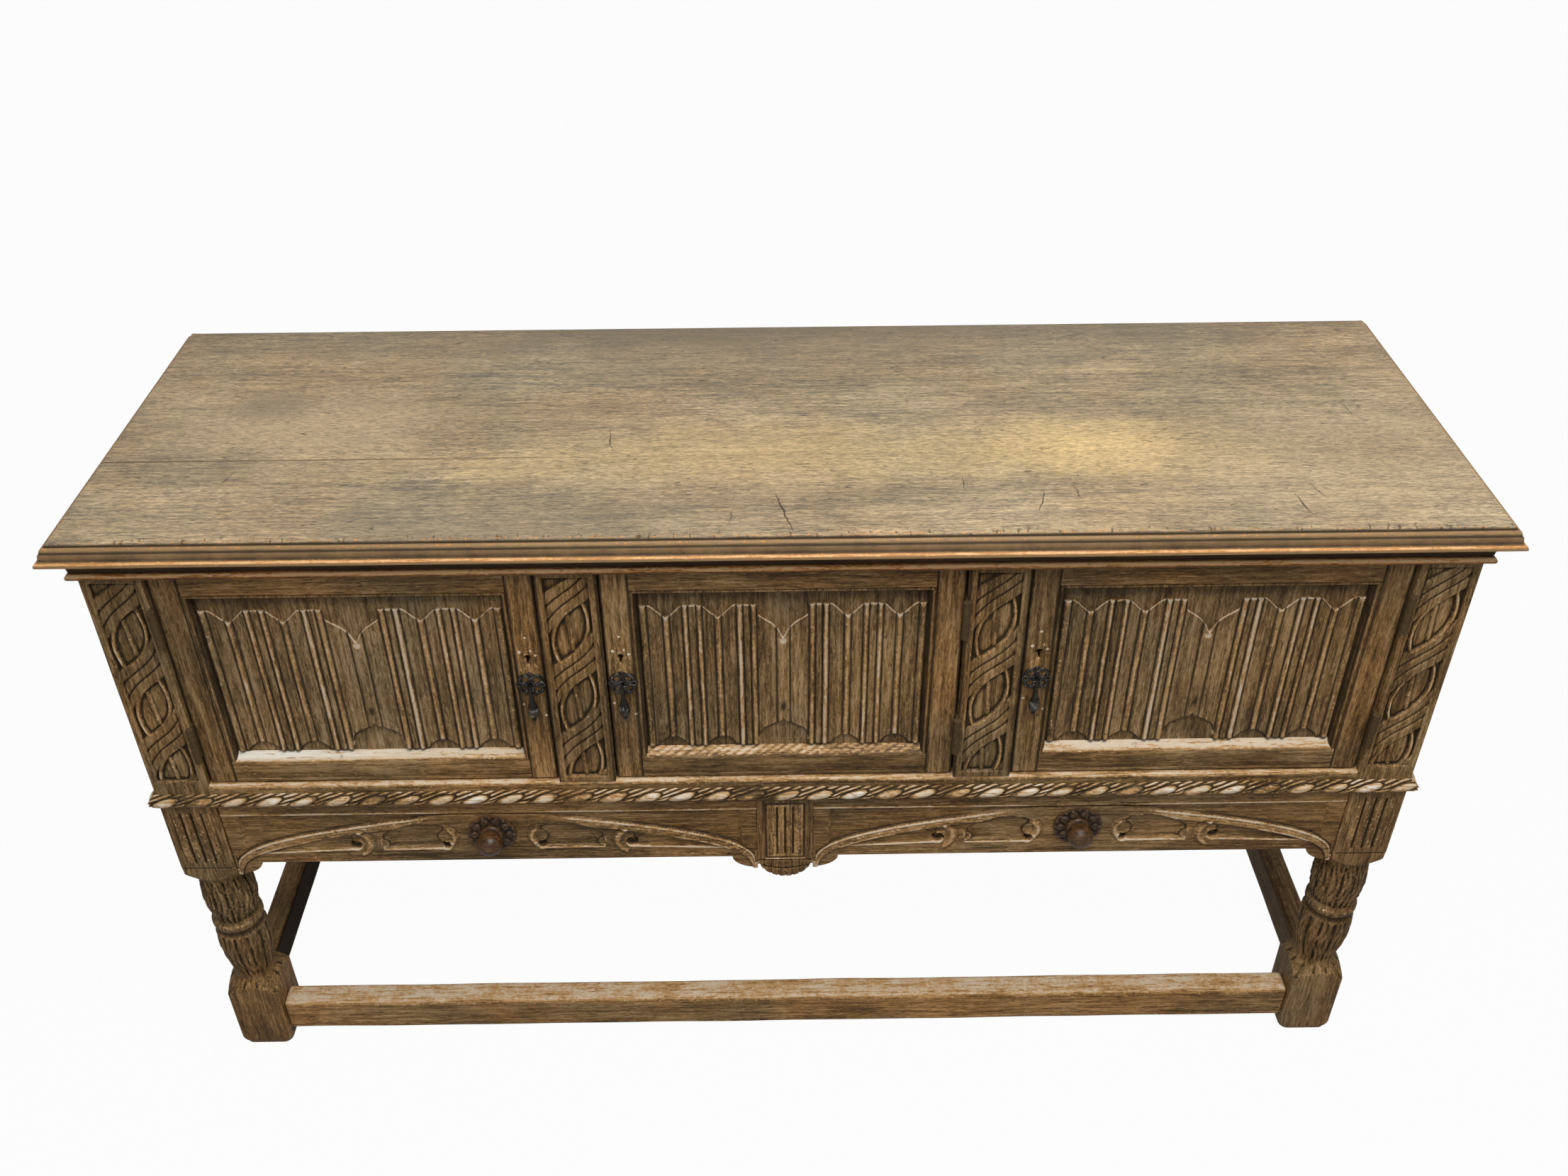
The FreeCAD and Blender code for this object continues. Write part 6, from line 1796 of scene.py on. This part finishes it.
class DRESSER_OT_handles(bpy.types.Operator):
    """Make the pierced iron plates and pear drops of the doors"""

    bl_idname = "dresser.handles"
    bl_label = "Iron Handles"

    def execute(self, context):
        material = iron()
        for door in DOORS:
            node = f"door_{door}_handle_plate"
            low, high = node_box(node)
            centre = np.array([(low[0] + high[0]) / 2, high[1], (low[2] + high[2]) / 2])
            skin = Skin()
            facing = Matrix.Rotation(math.radians(90), 4, "X")
            place = Matrix.Translation(Vector(centre * MM) + Vector((0.0, -1.4 * MM, 0.0)))
            rings = ((ring_mesh(6.2, 4.4, 3.2), 10.0, 45.0), (ring_mesh(3.0, 3.0, 2.6), 14.0, 0.0))
            for number, (shape, radius, turn) in enumerate(rings):
                mesh = made_copies(f"plate_{door}_{number}", shape, 4, radius, material, True)
                mesh.transform(place @ facing @ Matrix.Rotation(math.radians(turn), 4, "Z"))
                skin.take(mesh)
            add_turned(skin, BOSS_PROFILE, centre, (0, -1, 0), 24, wear=(0, 0, 0.5, 0.5, 0.3, 0.2))
            drop_node = f"door_{door}_handle_drop"
            drop_low, drop_high = node_box(drop_node)
            pin_level = drop_high[2] - 3.6
            pin_place = (centre[0], (drop_low[1] + drop_high[1]) / 2, pin_level)
            for side in (-1, 1):
                ear_near, ear_far = sorted((side * 3.0, side * 4.8))
                add_block(
                    skin, (centre[0] + ear_near, low[1], pin_level - 3.2),
                    (centre[0] + ear_far, centre[1] - 1.0, pin_level + 3.2), 0.7, 3.0, wear=0.6,
                )
            add_turned(skin, PIN_PROFILE, pin_place, (1, 0, 0), 14, wear=0.3)
            make_piece(f"{node}_pierced", skin, f"door_{door}", material, [node], waver=0.0)
            skin = Skin()
            pear = np.array(PEAR_PROFILE + ((0.0, drop_low[2] - pin_level),))
            wear = np.interp(-pear[:, 1], *zip(*PEAR_WEAR))
            add_turned(skin, pear, pin_place, (0, 0, 1), 24, wear)
            name = f"{drop_node}_forged"
            make_piece(name, skin, f"drop_{door}", material, [drop_node], waver=0.0)
        return {"FINISHED"}


class DRESSER_OT_insides(bpy.types.Operator):
    """Give the pieces that stay as they are in the frame their oak or iron"""

    bl_idname = "dresser.insides"
    bl_label = "Insides and Ironwork"

    def execute(self, context):
        finishes = {"top_rail": oak("across")}
        for node in ("back_rails", "cupboard_floor", "back_panel"):
            finishes[node] = oak("across", "inside")
        for node in ("partitions", "centre_bearer", "drawer_runners"):
            finishes[node] = oak("deep", "inside")
        for drawer in DRAWERS:
            finishes[f"drawer_{drawer}_sides"] = oak("deep", "inside")
            finishes[f"drawer_{drawer}_back"] = oak("across", "inside")
            finishes[f"drawer_{drawer}_bottom"] = oak("across", "inside")
        finishes["hinge_fixed_leaves"] = iron(rusted=True)
        for door in DOORS:
            finishes[f"door_{door}_hinge_leaves"] = iron(rusted=True)
            for piece in ("lock_case", "lock_bolt"):
                finishes[f"door_{door}_{piece}"] = iron()
        for node, material in finishes.items():
            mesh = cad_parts[node].data
            mesh.materials.clear()
            mesh.materials.append(material)
        return {"FINISHED"}


# Lamps: name, place, target and size in metres, and power in watts.
LAMPS = (
    ("soft_light_above", (0.3, -1.15, 2.9), (0.0, -0.15, 0.6), (2.0, 1.1), 56.0),
    ("fill_front", (-0.7, -3.4, 1.5), (0.0, -0.2, 0.5), (2.2, 2.2), 8.0),
)
# Strength of the even light from all round.
SKY_STRENGTH = 0.61
# Shares of the white background that show in a reflection and on the floor.
REFLECTED_SHARE = 0.25
FLOOR_SHARE = 0.97


def seen_share(nodes):
    """Share of the white background that a ray meets: all of it from the camera, a part in a reflection."""
    path = nodes.add("ShaderNodeLightPath").outputs
    mirrored = nodes.times(path["Is Glossy Ray"], REFLECTED_SHARE)
    return nodes.most(path["Is Camera Ray"], path["Is Transmission Ray"], mirrored)


class DRESSER_OT_stage(bpy.types.Operator):
    """Set the floor, the lamps, the background and the camera"""

    bl_idname = "dresser.stage"
    bl_label = "Stage"

    def execute(self, context):
        scene = context.scene
        scene.view_settings.view_transform = "Standard"
        self.lay_floor(scene, colours().floor)
        self.set_world(scene, colours().floor)
        for lamp in LAMPS:
            self.hang_lamp(scene, *lamp)
        self.set_camera(scene)
        return {"FINISHED"}

    def lay_floor(self, scene, tint):
        """A pale floor just under the feet."""
        half = 14.0
        mesh = bpy.data.meshes.new("floor")
        corners = [(-half, -half, 0), (half, -half, 0), (half, half, 0), (-half, half, 0)]
        mesh.from_pydata(corners, [], [(0, 1, 2, 3)])
        material, nodes, shader = new_material("floor_pale")
        nodes.give(shader, {"Base Color": (*tint, 1.0), "Roughness": 0.9})
        glow = nodes.add("ShaderNodeEmission", {"Color": (1.0, 1.0, 1.0, 1.0), "Strength": 1.0}).outputs[0]
        share = nodes.times(seen_share(nodes), FLOOR_SHARE)
        mixed = nodes.add("ShaderNodeMixShader", {0: share, 1: shader.outputs[0], 2: glow})
        nodes.tree.links.new(mixed.outputs[0], nodes.tree.nodes["Material Output"].inputs["Surface"])
        mesh.materials.append(material)
        floor = bpy.data.objects.new("floor", mesh)
        scene.collection.objects.link(floor)

    def set_world(self, scene, tint):
        """Even light from all round, pale to the camera."""
        world = bpy.data.worlds.new("studio")
        world.use_nodes = True
        world.node_tree.nodes.clear()
        nodes = Nodes(world.node_tree)
        sky = nodes.add("ShaderNodeBackground", {"Color": (*tint, 1.0), "Strength": SKY_STRENGTH})
        seen = nodes.add("ShaderNodeBackground", {"Color": (1.0, 1.0, 1.0, 1.0), "Strength": 1.0})
        both = {0: seen_share(nodes), 1: sky.outputs[0], 2: seen.outputs[0]}
        mixed = nodes.add("ShaderNodeMixShader", both).outputs[0]
        nodes.add("ShaderNodeOutputWorld", {"Surface": mixed})
        scene.world = world

    def hang_lamp(self, scene, name, place, target, size, power):
        """A large soft lamp at a place, turned to its target."""
        light = bpy.data.lights.new(name, "AREA")
        light.shape = "RECTANGLE"
        light.size, light.size_y = size
        light.energy = power
        lamp = bpy.data.objects.new(name, light)
        lamp.location = place
        lamp.rotation_euler = (Vector(target) - Vector(place)).to_track_quat("-Z", "Y").to_euler()
        scene.collection.objects.link(lamp)

    def set_camera(self, scene):
        """The camera that took the photograph."""
        tilt, yaw, roll = [math.radians(angle) for angle in (CAMERA_TILT, CAMERA_YAW, CAMERA_ROLL)]
        turn = Matrix.Rotation(yaw, 3, "Z")
        ahead = turn @ Vector((0.0, math.cos(tilt), -math.sin(tilt)))
        level_up = turn @ Vector((0.0, math.sin(tilt), math.cos(tilt)))
        level_right = turn @ Vector((1.0, 0.0, 0.0))
        right = math.cos(roll) * level_right + math.sin(roll) * level_up
        up = -math.sin(roll) * level_right + math.cos(roll) * level_up
        axes = Matrix((right, up, -ahead)).transposed().to_4x4()
        lens = bpy.data.cameras.new("photo_camera")
        lens.sensor_fit = "HORIZONTAL"
        lens.sensor_width = SENSOR_WIDTH
        lens.lens = CAMERA_FOCAL_PIXELS / PHOTO_SIZE[0] * SENSOR_WIDTH
        lens.clip_start = 0.05
        camera = bpy.data.objects.new("photo_camera", lens)
        camera.matrix_world = Matrix.Translation(CAMERA_PLACE) @ axes
        scene.collection.objects.link(camera)
        scene.camera = camera


OPERATORS = (
    DRESSER_OT_top, DRESSER_OT_cornice, DRESSER_OT_posts, DRESSER_OT_muntins, DRESSER_OT_rails,
    DRESSER_OT_rope, DRESSER_OT_centre_block, DRESSER_OT_stretchers, DRESSER_OT_doors, DRESSER_OT_handles,
    DRESSER_OT_drawers, DRESSER_OT_knobs, DRESSER_OT_insides, DRESSER_OT_stage,
)


class DRESSER_PT_panel(bpy.types.Panel):
    """Lists the dresser's pieces, sizes and colours"""

    bl_idname = "DRESSER_PT_panel"
    bl_label = "Oak Dresser Base"
    bl_space_type = "VIEW_3D"
    bl_region_type = "UI"
    bl_category = "Dresser"

    def draw(self, context):
        for operator in OPERATORS:
            self.layout.operator(operator.bl_idname)
        for group in (context.scene.dresser_sizes, context.scene.dresser_colours):
            box = self.layout.box()
            for name in group.__annotations__:
                box.prop(group, name)


CLASSES = (DresserSizes, DresserColours, *OPERATORS, DRESSER_PT_panel)


def register():
    """Registers the classes and the scene's sizes and colours."""
    for item in CLASSES:
        bpy.utils.register_class(item)
    bpy.types.Scene.dresser_sizes = PointerProperty(type=DresserSizes)
    bpy.types.Scene.dresser_colours = PointerProperty(type=DresserColours)


def unregister():
    """Takes back what register added."""
    del bpy.types.Scene.dresser_colours
    del bpy.types.Scene.dresser_sizes
    for item in reversed(CLASSES):
        bpy.utils.unregister_class(item)


def main():
    """Makes every piece."""
    register()
    for operator in OPERATORS:
        category, name = operator.bl_idname.split(".")
        getattr(getattr(bpy.ops, category), name)()


if __name__ == "__main__":
    main()
